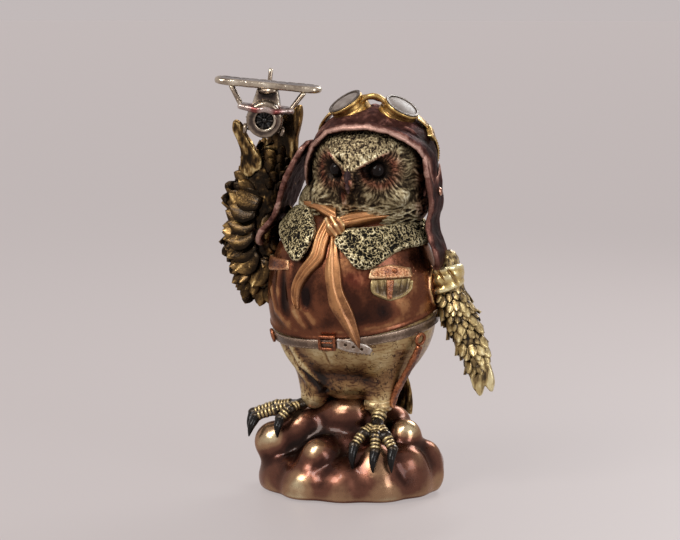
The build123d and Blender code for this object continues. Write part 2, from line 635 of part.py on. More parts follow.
# ---------------------------------------------------------------- pockets
POCKET = [
    (18.6, 108.0), (18.8, 102.0), (22.0, 99.3), (27.2, 97.4), (32.0, 99.0), (35.0, 102.0), (35.2, 108.0),
]
POCKET_FLAP = [(17.8, 108.2), (18.4, 113.0), (27.0, 114.8), (35.0, 112.4), (36.0, 108.2)]
POCKET_STRAP = [(25.6, 107.8), (29.2, 107.6), (28.4, 98.2), (26.0, 98.0)]
RIGHT_POCKET = [(-39.0, 115.5), (-23.5, 115.5), (-22.8, 110.8), (-38.0, 108.8)]


def polygon_patch(form, inner, outer, points):
    """A curved plate like patch, with straight edges."""
    face = Plane.XZ * make_face(Polyline(*points, close=True))
    return shell(form, inner, outer) & from_front(face)


nodes["chest_pocket"] = largest(polygon_patch(CHEST, 0, POCKET_THICK, POCKET))
pocket_flap = largest(polygon_patch(CHEST, 0, POCKET_FLAP_THICK, POCKET_FLAP) - left_collar)
nodes["pocket_flap"] = pocket_flap
strap_top = POCKET_THICK + POCKET_STRAP_THICK
nodes["pocket_strap"] = largest(polygon_patch(CHEST, POCKET_THICK, strap_top, POCKET_STRAP) - pocket_flap)
BUTTON_SEAT = (27.5, 111.2)
button_seat, _ = front_point(CHEST, *BUTTON_SEAT, POCKET_FLAP_THICK)
nodes["pocket_button"] = largest(Pos(*button_seat) * Sphere(BUTTON_RADIUS) - pocket_flap)
right_pocket = polygon_patch(CHEST, 0, POCKET_THICK, RIGHT_POCKET) - right_collar - raised_wing
nodes["right_pocket_flap"] = largest(right_pocket)

# ---------------------------------------------------------------- belt, buckle, rings and leg strap
belt_zone = slab(hem, -BELT_GAP - BELT_WIDTH, -BELT_GAP)
belt_form = (HIP[0], tuple(h + BELT_THICK for h in HIP[1]))
waist_belt = (ellipsoid(belt_form) & belt_zone) - breeches
BUCKLE_X = -2.4
BUCKLE_Z = 77.0
buckle_seat, buckle_out = front_point(belt_form, BUCKLE_X, BUCKLE_Z)
buckle_place = Plane(origin=buckle_seat, x_dir=(0, 0, 1), z_dir=buckle_out)
frame_block = Box(BUCKLE_HEIGHT, BUCKLE_WIDTH, 2 * BUCKLE_THICK)
frame_hole = Box(BUCKLE_HEIGHT - 2 * BUCKLE_BAR, BUCKLE_WIDTH - 2 * BUCKLE_BAR, 3 * BUCKLE_THICK)
BUCKLE_CORNER = 0.6
buckle = buckle_place * fillet((frame_block - frame_hole).edges().filter_by(Axis.Z), BUCKLE_CORNER)
buckle = largest(buckle - ellipsoid(belt_form))
nodes["buckle_frame"] = buckle
PRONG_RADIUS = 0.55
prong_length = BUCKLE_WIDTH - 2 * BUCKLE_BAR
prong_seat = buckle_place * Pos(0, 0, PRONG_RADIUS * 0.6) * Rot(90, 0, 0)
prong = prong_seat * Cylinder(PRONG_RADIUS, prong_length)
nodes["buckle_prong"] = largest(prong - ellipsoid(belt_form) - buckle)
TONGUE = [
    (2.6, 79.6), (9.0, 78.6), (16.5, 76.6), (19.4, 74.0), (17.6, 71.2), (9.0, 72.6), (2.6, 74.4),
]
tongue = polygon_patch(HIP, BELT_THICK, BELT_THICK + TONGUE_THICK, TONGUE)
nodes["belt_tongue"] = largest(tongue - buckle - jacket)
RING_RADIUS = 2.7
RING_WIRE = 0.9
RING_SPOTS = [(-26.0, 77.5), (202.0, 76.5)]
rings = []
for angle, height in RING_SPOTS:
    spot, out = surface_point(belt_form, angle, height, RING_WIRE * 0.8)
    rings.append(Plane(origin=spot, z_dir=out) * Torus(RING_RADIUS, RING_WIRE) - ellipsoid(belt_form))
rings = [largest(r - jacket - breeches) for r in rings]
nodes["strap_rings"] = group(rings)
LEG_STRAP = [
    (38.6, -18.0, 74.5), (35.0, -17.5, 66.5), (30.5, -16.0, 58.5), (25.8, -14.6, 50.0), (23.6, -14.0, 42.5),
]
LEG_STRAP_WIDTH = 4.0
LEG_STRAP_THICK = 2.4
strap_path = Spline(*LEG_STRAP)
LEG_STRAP_FLAT = (0.35, 0.9, 0)      # the direction that its flat side runs in
strap_section = Plane(origin=strap_path @ 0, x_dir=LEG_STRAP_FLAT, z_dir=strap_path % 0)
leg_strap = sweep(strap_section * Rectangle(LEG_STRAP_WIDTH, LEG_STRAP_THICK), path=strap_path)
for seat in [breeches, waist_belt, nodes["ankle_cuff"], left_foot, *rings]:
    leg_strap = leg_strap - seat
nodes["leg_strap"] = largest(leg_strap)

# ---------------------------------------------------------------- goggles pushed up on the helmet
LENS_BULGE = 1.2
cup_places = [Plane(origin=centre, z_dir=facing) for centre, facing in GOGGLES]
downward = (Align.CENTER, Align.CENTER, Align.MAX)
upward = (Align.CENTER, Align.CENTER, Align.MIN)
lens_radius = GOGGLE_CUP_RADIUS - GOGGLE_CUP_WALL
cups, rims, lenses = [], [], []
for place in cup_places:
    tube = Cylinder(GOGGLE_CUP_RADIUS, GOGGLE_CUP_DEPTH, align=downward)
    bore = Cylinder(lens_radius, GOGGLE_CUP_DEPTH, align=downward)
    cups.append(largest(place * (tube - bore) - dome - helmet))
    ring = Cylinder(GOGGLE_CUP_RADIUS, GOGGLE_RIM_HEIGHT, align=upward)
    ring = ring - Cylinder(lens_radius, GOGGLE_RIM_HEIGHT, align=upward)
    rims.append(place * ring)
    ball_radius = (lens_radius**2 + LENS_BULGE**2) / (2 * LENS_BULGE)
    bulge = Pos(0, 0, LENS_BULGE - ball_radius) * Sphere(ball_radius)
    glass = bulge & Cylinder(lens_radius, 2 * LENS_BULGE)
    lenses.append(place * (glass & slab(Plane.XY, -LENS_BULGE / 2, LENS_BULGE * 2)) - helmet - dome)
nodes["goggle_cups"] = group(cups)
nodes["goggle_rims"] = group(rims)
nodes["goggle_lenses"] = group(lenses)
BRIDGE_RISE = 3.6
BRIDGE_RADIUS = 1.5
bridge_ends = [
    Vector(*centre) + Vector(side * GOGGLE_CUP_RADIUS * 0.8, 0.0, GOGGLE_CUP_RADIUS * 0.2)
    for (centre, _), side in zip(GOGGLES, (1, -1))
]
bridge_top = (bridge_ends[0] + bridge_ends[1]) * 0.5 + Vector(0, 0, BRIDGE_RISE / 2)
bridge = limb([tuple(bridge_ends[0]), tuple(bridge_top), tuple(bridge_ends[1])], [BRIDGE_RADIUS] * 3)
for cup in [*cups, *rims, *lenses, dome, helmet]:
    bridge = bridge - cup
nodes["goggle_bridge"] = largest(bridge)
strap_plane = Plane(origin=(0, 0, STRAP_HEIGHT), z_dir=(0, 1, 1))
strap_zone = slab(strap_plane, -STRAP_WIDTH / 2, STRAP_WIDTH / 2)
STRAP_START_Y = -6.0
behind_cups = Pos(0, REACH / 2 + STRAP_START_Y, HELMET_CENTRE[2]) * Box(2 * REACH, REACH, 2 * REACH)
goggle_strap = shell(DOME, 0, STRAP_THICK) & strap_zone & behind_cups
for seat in [helmet, helmet_band, seam_form, left_flap, right_flap]:
    goggle_strap = goggle_strap - seat
for place in cup_places:
    goggle_strap = goggle_strap - place * Cylinder(GOGGLE_CUP_RADIUS, 3 * GOGGLE_CUP_DEPTH)
STRAP_LEAST_VOLUME = 40.0      # leaves out slivers beside the seam
nodes["goggle_strap"] = group(s for s in goggle_strap.solids() if s.volume > STRAP_LEAST_VOLUME)
SLIDER_WIDTH = 4.0
SLIDER_THICK = 1.0
SLIDER_MARGIN = 0.8
SLIDER_HEIGHT = 176.0
slider_place = Pos(HELMET_CENTRE[0] + HELMET_HALF_WIDTH, 0, SLIDER_HEIGHT) * Rot(-45, 0, 0)
slider_box = slider_place * Box(HELMET_HALF_WIDTH, SLIDER_WIDTH, STRAP_WIDTH + 2 * SLIDER_MARGIN)
slider = shell(DOME, 0, STRAP_THICK + SLIDER_THICK) & slider_box & behind_cups
for seat in [helmet, left_flap, nodes["goggle_strap"]]:
    slider = slider - seat
nodes["strap_slider"] = largest(slider)

# ---------------------------------------------------------------- toy aeroplane
# local frame: X along the wings, Y from the nose to the tail, Z up; the nose is at the origin
aeroplane = Pos(*PLANE_NOSE) * Rot(0, 0, PLANE_HEADING) * Rot(PLANE_NOSE_DOWN, 0, 0) * Rot(0, PLANE_ROLL, 0)
BODY_START = COWL_LENGTH
CABIN_START = 6.0
CABIN_END = 20.0
CABIN_TOP_HALF_WIDTH = 5.0
CABIN_LOW_HALF_WIDTH = 7.6
CABIN_FLOOR_Z = 3.0
CABIN_RAKE = 3.0
COWL_LIP = 1.6
ENGINE_RECESS = 1.5
TAIL_RISE = 2.0
FUSELAGE_STEP = 0.6

backward = Rot(-90, 0, 0)
cowl_space = backward * Cylinder(COWL_RADIUS, COWL_LENGTH, align=upward)
cowl = cowl_space - backward * Cylinder(INTAKE_RADIUS, COWL_LENGTH, align=upward)
front_circles = cowl.edges().filter_by(GeomType.CIRCLE).group_by(Axis.Y)[0]
cowl = fillet(front_circles.sort_by(SortBy.RADIUS)[-1:], COWL_LIP)
engine_length = COWL_LENGTH - ENGINE_RECESS
engine = Pos(0, ENGINE_RECESS, 0) * backward * Cylinder(INTAKE_RADIUS, engine_length, align=upward)
nose_section = Plane(origin=(0, BODY_START, 0), x_dir=(1, 0, 0), z_dir=(0, 1, 0))
tail_section = Plane(origin=(0, TAIL_Y, TAIL_RISE), x_dir=(1, 0, 0), z_dir=(0, 1, 0))
fuselage = loft([nose_section * Circle(COWL_RADIUS - FUSELAGE_STEP), tail_section * Circle(TAIL_RADIUS)])
wing_low = TOP_WING_Z - TOP_WING_THICK / 2
cabin_length = CABIN_END - CABIN_START
cabin_middle = (CABIN_START + CABIN_END) / 2
cabin_floor = Pos(0, cabin_middle, CABIN_FLOOR_Z) * Rectangle(2 * CABIN_LOW_HALF_WIDTH, cabin_length)
cabin_roof = Pos(0, cabin_middle, wing_low) * Rectangle(2 * CABIN_TOP_HALF_WIDTH, cabin_length - CABIN_RAKE)
cabin = loft([cabin_floor, cabin_roof]) - fuselage


def rounded_wing(span, chord, thick, z, y_start):
    """A flat wing with round tips and soft edges."""
    plan = SlotOverall(span, chord)
    solid = extrude(plan, amount=thick / 2, both=True)
    solid = fillet(solid.edges(), thick * 0.42)
    return Pos(0, y_start + chord / 2, z) * solid


TOP_WING_Y = 5.0
LOW_WING_Y = 1.0
top_wing = rounded_wing(TOP_WING_SPAN, TOP_WING_CHORD, TOP_WING_THICK, TOP_WING_Z, TOP_WING_Y) - cabin
low_wing = rounded_wing(LOW_WING_SPAN, LOW_WING_CHORD, LOW_WING_THICK, LOW_WING_Z, LOW_WING_Y)
low_wing = low_wing - fuselage - cowl - cabin - cowl_space
STRUT_YS = [(2.6, 7.0), (6.2, 13.0)]      # where each strut meets the low wing and the top wing
STRUT_INSET = 1.6
struts = []
for side in SIDES:
    for low_y, high_y in STRUT_YS:
        foot_point = (side * (LOW_WING_SPAN / 2 - STRUT_INSET), low_y, LOW_WING_Z)
        head_point = (side * STRUT_TOP_X, high_y, TOP_WING_Z)
        strut = rod(foot_point, head_point, STRUT_RADIUS, STRUT_RADIUS) - top_wing - low_wing
        struts.append(largest(strut))
FIN_TOP = 18.6
FIN_THICK = 2.2
FIN_ROOT = 9.0
TAILPLANE_SPAN = 22.0
TAILPLANE_CHORD = 7.0
TAILPLANE_THICK = 1.8
FIN_TIP = 4.0
TAILPLANE_Z = 3.0
fin_front = [(TAIL_Y - FIN_ROOT, TAIL_RISE), (TAIL_Y - FIN_TIP, FIN_TOP)]
fin_back = [(TAIL_Y, FIN_TOP), (TAIL_Y + 1, TAIL_RISE)]
fin_face = Plane.YZ * make_face(Polyline(*fin_front, *fin_back, close=True))
fin = extrude(fin_face, amount=FIN_THICK / 2, both=True)
tailplane_y = TAIL_Y - TAILPLANE_CHORD
tailplane = rounded_wing(TAILPLANE_SPAN, TAILPLANE_CHORD, TAILPLANE_THICK, TAILPLANE_Z, tailplane_y)
tail_unit = largest((fin + tailplane) - fuselage)
AXLE_RADIUS = 0.8
WHEEL_Y = 5.0
axle_half = WHEEL_X - WHEEL_WIDTH / 2
axle = Pos(0, WHEEL_Y, WHEEL_Z) * Rot(0, 90, 0) * Cylinder(AXLE_RADIUS, 2 * axle_half)
LEG_RADIUS = 1.1
LEG_INSET = 1.2
LEG_ROOT_X = 5.0
LEG_ROOT_Y = 9.0
leg_end_x = axle_half - LEG_INSET
legs = [
    rod((s * leg_end_x, WHEEL_Y, WHEEL_Z), (s * LEG_ROOT_X, LEG_ROOT_Y, 0), LEG_RADIUS, LEG_RADIUS)
    for s in SIDES
]
undercarriage = cut(join([axle, *legs]), fuselage, cowl, engine, cowl_space)
undercarriage = group(s for s in undercarriage.solids() if s.volume > 1.0)
WHEEL_EDGE = 0.5
tyre = Rot(0, 90, 0) * Cylinder(WHEEL_RADIUS, WHEEL_WIDTH)
tyre = fillet(tyre.edges(), WHEEL_EDGE)
wheels = [cut(Pos(s * WHEEL_X, WHEEL_Y, WHEEL_Z) * tyre, cowl, fuselage) for s in SIDES]

nodes["plane_cowling"] = aeroplane * largest(cowl)
nodes["plane_engine"] = aeroplane * engine
nodes["plane_fuselage"] = aeroplane * fuselage
nodes["plane_cabin"] = aeroplane * largest(cabin)
nodes["plane_top_wing"] = aeroplane * largest(top_wing)
nodes["plane_low_wing"] = group(aeroplane * s for s in low_wing.solids())
nodes["plane_struts"] = group(aeroplane * s for s in struts)
nodes["plane_tail"] = aeroplane * tail_unit
nodes["plane_undercarriage"] = group(aeroplane * s for s in undercarriage.solids())
nodes["plane_wheels"] = group(aeroplane * largest(w) for w in wheels)

aeroplane_block = [nodes[n] for n in nodes if n.startswith("plane_")]
fingers = fingers - raised_wing - helmet - right_flap
for piece in aeroplane_block:
    fingers = fingers - piece
FINGER_LEAST_VOLUME = 20.0     # leaves out chips between the aeroplane's struts
fingers = group(s for s in fingers.solids() if s.volume > FINGER_LEAST_VOLUME)
nodes["raised_wing_fingers"] = fingers

nodes["base_mound"] = largest(drilled(mound))
nodes["breeches"] = largest(drilled(breeches))
nodes["jacket"] = largest(jacket)
nodes["right_foot"] = largest(drilled(right_foot))
nodes["left_foot"] = largest(drilled(left_foot))
nodes["raised_wing"] = largest(drilled(raised_wing))
nodes["lowered_wing"] = largest(drilled(lowered_wing))
nodes["waist_belt"] = largest(waist_belt - breeches)
nodes["head"] = largest(head - helmet)
nodes["helmet"] = helmet
nodes["helmet_band"] = helmet_band

for name, shape in nodes.items():
    export_step(shape, f"parts/{name}.step")
print(f"{len(nodes)} nodes written")
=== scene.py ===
# %% [markdown]
# # Owl aviator figurine
# A cast resin owl in flying kit stands on a mound of rounded rock. It is painted like old metal:
# champagne gold, copper and bronze, with a dark wash left in every groove. This lesson builds it
# piece by piece over a imported CAD frame. The first cell loads that frame.

# %% Load the frame
import math
import bpy
import mathutils
import numpy as np
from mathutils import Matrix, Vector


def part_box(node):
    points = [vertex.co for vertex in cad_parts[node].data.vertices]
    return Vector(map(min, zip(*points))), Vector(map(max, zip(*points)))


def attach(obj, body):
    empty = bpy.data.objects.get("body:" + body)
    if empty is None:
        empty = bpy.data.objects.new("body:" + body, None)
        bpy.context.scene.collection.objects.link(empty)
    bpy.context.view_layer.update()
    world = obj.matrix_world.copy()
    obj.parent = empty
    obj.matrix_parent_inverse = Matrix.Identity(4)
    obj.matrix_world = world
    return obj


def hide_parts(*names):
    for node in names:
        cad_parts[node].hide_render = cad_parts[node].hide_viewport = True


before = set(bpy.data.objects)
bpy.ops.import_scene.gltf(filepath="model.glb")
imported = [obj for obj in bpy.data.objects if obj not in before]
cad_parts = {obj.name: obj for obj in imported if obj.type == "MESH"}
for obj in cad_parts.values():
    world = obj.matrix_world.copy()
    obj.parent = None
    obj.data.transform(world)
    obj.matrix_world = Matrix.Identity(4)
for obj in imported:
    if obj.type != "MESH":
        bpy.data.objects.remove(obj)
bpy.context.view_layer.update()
import openvdb
MM = 0.001

# %% [markdown]
# ## Camera, light and floor
# The owl is seen from slightly above and from its left. A long lens keeps it free of distortion.
# Two soft panels and a pale sky light it evenly, and one narrow panel gives the lacquer its glint.

# %% Camera
VIEW_TURN, VIEW_DISTANCE, VIEW_HEIGHT, AIM_HEIGHT = math.radians(15), 1.1, 0.234, 0.108
LENS, IMAGE_SHIFT = 119.14, -12 / 680
camera_data = bpy.data.cameras.new("view_camera")
camera_data.sensor_width, camera_data.lens, camera_data.shift_x = 36, LENS, IMAGE_SHIFT
camera_data.clip_start = 0.01
camera = bpy.data.objects.new("view_camera", camera_data)
bpy.context.collection.objects.link(camera)


def look(thing, place, aim):
    """Puts a camera or a lamp at a place and turns it to a point."""
    thing.location = place
    thing.rotation_euler = (mathutils.Vector(aim) - mathutils.Vector(place)).to_track_quat("-Z",
        "Y").to_euler()


camera_at = VIEW_DISTANCE * math.sin(VIEW_TURN), -VIEW_DISTANCE * math.cos(VIEW_TURN), VIEW_HEIGHT
look(camera, camera_at, (0, 0, AIM_HEIGHT))
bpy.context.scene.camera = camera
print("camera at", tuple(round(c, 3) for c in camera_at))

# %% Lights and sky
def panel(name, place, aim, size, power, tint=(1, 1, 1)):
    """A soft rectangular lamp that looks at a point."""
    data = bpy.data.lights.new(name, "AREA")
    data.shape, data.size, data.size_y, data.energy, data.color = "RECTANGLE", size[0], size[1], power, tint
    lamp = bpy.data.objects.new(name, data)
    bpy.context.collection.objects.link(lamp)
    look(lamp, place, aim)


panel("key_panel", (-0.45, -0.75, 0.85), (0, 0, 0.11), (0.45, 0.45), 7.6, (1, 0.97, 0.93))
panel("fill_panel", (0.85, -0.55, 0.45), (0, 0, 0.11), (0.4, 0.6), 4.0, (0.93, 0.96, 1))
panel("rim_panel", (0.25, 0.8, 0.7), (0, 0, 0.13), (0.5, 0.4), 5.0)
panel("glint_panel", (-0.12, -0.5, 0.95), (0, 0, 0.1), (0.12, 0.3), 2.0)


def seen_rays(tree):
    """1 for rays from the camera, a mirror or glass; 0 for the light that falls on the object."""
    rays = tree.nodes.new("ShaderNodeLightPath")
    total = rays.outputs["Is Camera Ray"]
    for kind in ("Is Glossy Ray", "Is Transmission Ray"):
        either = tree.nodes.new("ShaderNodeMath")
        either.operation = "MAXIMUM"
        tree.links.new(total, either.inputs[0])
        tree.links.new(rays.outputs[kind], either.inputs[1])
        total = either.outputs[0]
    return total

world = bpy.data.worlds.new("pale_sky")
bpy.context.scene.world = world
world.use_nodes = True
sky = world.node_tree
sky.nodes.clear()
out = sky.nodes.new("ShaderNodeOutputWorld")
lit = sky.nodes.new("ShaderNodeBackground")
seen = sky.nodes.new("ShaderNodeBackground")
mix = sky.nodes.new("ShaderNodeMixShader")
lit.inputs["Color"].default_value, lit.inputs["Strength"].default_value = (0.82, 0.84, 0.9, 1), 0.28
seen.inputs["Color"].default_value, seen.inputs["Strength"].default_value = (0.54, 0.488, 0.484, 1), 1.0
sky.links.new(seen_rays(sky), mix.inputs[0])
sky.links.new(lit.outputs[0], mix.inputs[1])
sky.links.new(seen.outputs[0], mix.inputs[2])
sky.links.new(mix.outputs[0], out.inputs[0])
bpy.context.scene.view_settings.view_transform = "Standard"

# %% Floor
floor_mesh = bpy.data.meshes.new("floor")
FLOOR_REACH = 60.0
floor_mesh.from_pydata([(FLOOR_REACH * x, FLOOR_REACH * y, 0) for x,
    y in ((-1, -1), (1, -1), (1, 1), (-1, 1))], [], [(0, 1, 2, 3)])
floor = bpy.data.objects.new("floor", floor_mesh)
bpy.context.collection.objects.link(floor)
floor_paint = bpy.data.materials.new("floor_paint")
floor_paint.use_nodes = True
floor_tree = floor_paint.node_tree
floor_shader = floor_tree.nodes["Principled BSDF"]
floor_shader.inputs["Base Color"].default_value = (0.1, 0.089, 0.087, 1)
floor_shader.inputs["Roughness"].default_value = 0.55
floor_shader.inputs["Emission Color"].default_value = (0.63, 0.563, 0.553, 1)
floor_glow = floor_tree.nodes.new("ShaderNodeMath")
floor_glow.operation = "MULTIPLY"
floor_glow.inputs[1].default_value = 0.66
floor_tree.links.new(seen_rays(floor_tree), floor_glow.inputs[0])
floor_tree.links.new(floor_glow.outputs[0], floor_shader.inputs["Emission Strength"])
floor_mesh.materials.append(floor_paint)

# %% [markdown]
# ## Clay: shapes from distances
# Cast resin has no sharp joints: lumps, folds and limbs run into each other. That is easy to make
# from a grid of distances to the surface. Adding a form takes the smaller distance, with a soft
# blend where two forms meet; cutting does the opposite. OpenVDB then turns the grid into a mesh.
# The same grid, blurred, tells how deep in a groove each point lies, and the paint reads that.

# %% Forms that clay is made of
EVERYWHERE = np.float32([-400] * 3), np.float32([400] * 3)


def ellipsoid(centre, halves):
    """Distance from an ellipsoid, with the box that holds it."""
    c, h = np.float32(centre), np.float32(halves)

    def away(x, y, z):
        u, v, w = (x - c[0]) / h[0], (y - c[1]) / h[1], (z - c[2]) / h[2]
        near = np.sqrt(u * u + v * v + w * w)
        slope = np.sqrt((u / h[0]) ** 2 + (v / h[1]) ** 2 + (w / h[2]) ** 2) + 1e-6
        return near * (near - 1) / slope
    return away, c - h, c + h


def stick(points, radii):
    """Distance from a bent rod that tapers from point to point, with the box that holds it."""
    p, r = np.float32(points), np.float32(radii)
    widest = r.max()

    def away(x, y, z):
        best = None
        for a, b, ra, rb in zip(p[:-1], p[1:], r[:-1], r[1:]):
            d = b - a
            t = ((x - a[0]) * d[0] + (y - a[1]) * d[1] + (z - a[2]) * d[2]) / max(float(d @ d), 1e-6)
            t = np.clip(t, 0, 1)
            gap = np.sqrt((x - a[0] - t * d[0]) ** 2 + (y - a[1] - t * d[1]) ** 2
                + (z - a[2] - t * d[2]) ** 2)
            gap = gap - (ra + (rb - ra) * t)
            best = gap if best is None else np.minimum(best, gap)
        return best
    return away, p.min(0) - widest, p.max(0) + widest


def beyond(point, direction):
    """Distance behind a plane: everything on the side that direction points to is inside."""
    n = np.float32(direction) / np.linalg.norm(direction)

    def away(x, y, z):
        return -((x - point[0]) * n[0] + (y - point[1]) * n[1] + (z - point[2]) * n[2])
    return away, *EVERYWHERE


def on_front(form, x, z, out=0.0):
    """The frontmost point of an ellipsoid at x and z, moved out along its normal."""
    (cx, cy, cz), (a, b, c) = form
    y = -b * math.sqrt(max(0.0, 1 - ((x - cx) / a) ** 2 - ((z - cz) / c) ** 2))
    n = np.array([(x - cx) / a ** 2, y / b ** 2, (z - cz) / c ** 2])
    return np.array([x, cy + y, z]) + n / np.linalg.norm(n) * out


def front_line(form, places, out=0.0):
    """Several points (x, z) laid on the front of an ellipsoid."""
    return [on_front(form, x, z, out) for x, z in places]


def soft_min(a, b, blend):
    """The smaller of two distances, rounded where they are about equal."""
    h = np.clip(0.5 + 0.5 * (a - b) / blend, 0, 1)
    return a + (b - a) * h - blend * h * (1 - h)

# %% The clay block
def box_blur(values, wide):
    """Values of a grid averaged over a few cells each way, twice, which rounds them off."""
    span = 2 * wide + 1
    for axis in (0, 1, 2, 0, 1, 2):
        total = np.cumsum(np.pad(values, [(wide + 1, wide) if a == axis else (0, 0) for a in range(3)],
            "edge"), axis)
        values = (np.take(total, range(span, total.shape[axis]), axis)
                  - np.take(total, range(0, total.shape[axis] - span), axis)) / span
    return values.astype(np.float32)


class Clay:
    """A block of millimetre distances that forms are added to and cut from."""

    def __init__(self, low, high, cell):
        self.low, self.cell = np.float32(low), cell
        self.field = np.full([int((h - l) / cell) + 1 for l, h in zip(low, high)], 9.0, np.float32)

    def _change(self, form, blend, join):
        away, low, high = form
        first = np.maximum(np.floor((low - blend - 2 - self.low) / self.cell), 0).astype(int)
        last = np.minimum(np.ceil((high + blend + 2 - self.low) / self.cell) + 1,
            self.field.shape).astype(int)
        if (first >= last).any():
            return self
        x, y, z = np.ogrid[tuple(slice(a, b) for a, b in zip(first, last))]
        x, y, z = (np.float32(l + v * self.cell) for l, v in zip(self.low, (x, y, z)))
        part = tuple(slice(a, b) for a, b in zip(first, last))
        self.field[part] = join(self.field[part], away(x, y, z), blend)
        return self

    def add(self, form, blend=0.4):
        return self._change(form, blend, soft_min)

    def cut(self, form, blend=0.4):
        return self._change(form, blend, lambda a, b, k: -soft_min(-a, b, k))

    def keep(self, form, blend=0.4):
        return self._change((form[0], *EVERYWHERE), blend, lambda a, b, k: -soft_min(-a, -b, k))

    def openness(self, points, reach):
        """How exposed each point is: above 0 on ridges, below 0 in grooves narrower than reach."""
        wide = max(1, int(round(reach / self.cell / 2)))
        solid = box_blur(np.clip(0.5 - self.field / self.cell, 0, 1), wide)
        return 1 - 2 * sample(solid, (points - self.low) / self.cell)

    def mesh(self):
        """Points and four-sided faces of the surface, in millimetres."""
        edge = 3 * self.cell
        field = np.clip(np.pad(self.field, 1, constant_values=edge), -edge, edge)
        grid = openvdb.FloatGrid(edge)
        grid.copyFromArray(field)
        grid.transform = openvdb.createLinearTransform(self.cell)
        points, quads = grid.convertToQuads(0.0)
        return points + self.low - self.cell, quads.astype(np.int32)

    def skin(self):
        """The same, with the outward direction at each point."""
        points, faces = self.mesh()
        return points, faces, face_normals_to_points(points, faces)


def sample(values, at):
    """Values of a grid at fractional indices, blended between its eight neighbours."""
    at = np.clip(at, 0, np.array(values.shape) - 1.001)
    base = at.astype(int)
    part = at - base
    total = 0
    for corner in range(8):
        step = np.array([corner & 1, corner >> 1 & 1, corner >> 2])
        weight = np.prod(np.where(step, part, 1 - part), axis=1)
        total = total + weight * values[tuple((base + step).T)]
    return total

# %% [markdown]
# ## Grain
# Hand-painted resin is never even. Gradient noise, worked out for whole arrays of points at once,
# gives brush marks, pits and curls at any size, and a fixed seed gives the same ones on every run.

# %% Noise for arrays of points
def noise(points, size, seed=0):
    """Smooth noise from about -1 to 1, whose bumps are about size millimetres wide."""
    p = np.asarray(points, np.float64) / size + 31.7 * (seed + 1)
    base = np.floor(p).astype(np.int64)
    part = p - base
    ease = part ** 3 * (part * (part * 6 - 15) + 10)
    total = 0
    for corner in range(8):
        step = np.array([corner & 1, corner >> 1 & 1, corner >> 2])
        i, j, k = (base + step).T
        mixed = (i * 73856093) ^ (j * 19349663) ^ (k * 83492791) ^ (seed * 2654435)
        mixed = ((mixed ^ (mixed >> 13)) * 1274126177) & 0x3FFFFFFF
        lean = np.stack([mixed & 1023, mixed >> 10 & 1023, mixed >> 20 & 1023], 1) / 511.5 - 1
        weight = np.prod(np.where(step, ease, 1 - ease), axis=1)
        total = total + weight * ((part - step) * lean).sum(1)
    return total * 1.3


def layered(points, size, layers=3, seed=0):
    """Noise with finer noise on top of it."""
    return sum(noise(points, size / 2 ** n, seed + n) / 2 ** n for n in range(layers))

# %% Meshes from arrays
def face_normals_to_points(points, faces):
    """Outward direction at each point, from the four-sided faces around it."""
    a, b, c, d = (points[faces[:, n]] for n in range(4))
    facing = np.cross(c - a, d - b)
    total = np.zeros_like(points)
    for n in range(4):
        for axis in range(3):
            total[:, axis] += np.bincount(faces[:, n], facing[:, axis], len(points))
    return total / (np.linalg.norm(total, axis=1, keepdims=True) + 1e-12)


def make_object(name, points, faces, paint=None, **marks):
    """A smooth mesh object from millimetre points and equal-sided faces, with float attributes."""
    data = bpy.data.meshes.new(name)
    data.vertices.add(len(points))
    data.vertices.foreach_set("co", (np.asarray(points, np.float32) * MM).ravel())
    sides = faces.shape[1]
    data.loops.add(faces.size)
    data.loops.foreach_set("vertex_index", faces.astype(np.int32).ravel())
    data.polygons.add(len(faces))
    data.polygons.foreach_set("loop_start", np.arange(0, faces.size, sides, dtype=np.int32))
    data.update(calc_edges=True)
    data.shade_smooth()
    for mark, values in marks.items():
        data.attributes.new(mark, "FLOAT", "POINT").data.foreach_set("value", np.float32(values))
    if paint:
        data.materials.append(paint)
    thing = bpy.data.objects.new(name, data)
    bpy.context.collection.objects.link(thing)
    return thing


def place_piece(name, points, faces, finish, relief, *nodes, slot=None, **marks):
    """A piece with its groove marks, which rides on the figurine in the place of its CAD nodes."""
    if relief is not None:
        marks = {"relief": np.clip(relief, 0, 1), **marks}
    thing = make_object(name, points, faces, finish, **marks)
    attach(thing, "root")
    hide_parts(*nodes)
    # The frame's own materials hold the slots' names, so Blender may add a number to this one's.
    print(name, "faces", len(faces), "triangles", 2 * len(faces))

# %% [markdown]
# ## Paint
# The real finish is built up in layers: a dark coat, a metallic coat brushed over the high parts,
# and lacquer. One material recipe follows that. A colour ramp reads the groove attribute, broken
# up by two sizes of noise, so the dark stays in the grooves and the bright metal on the ridges.

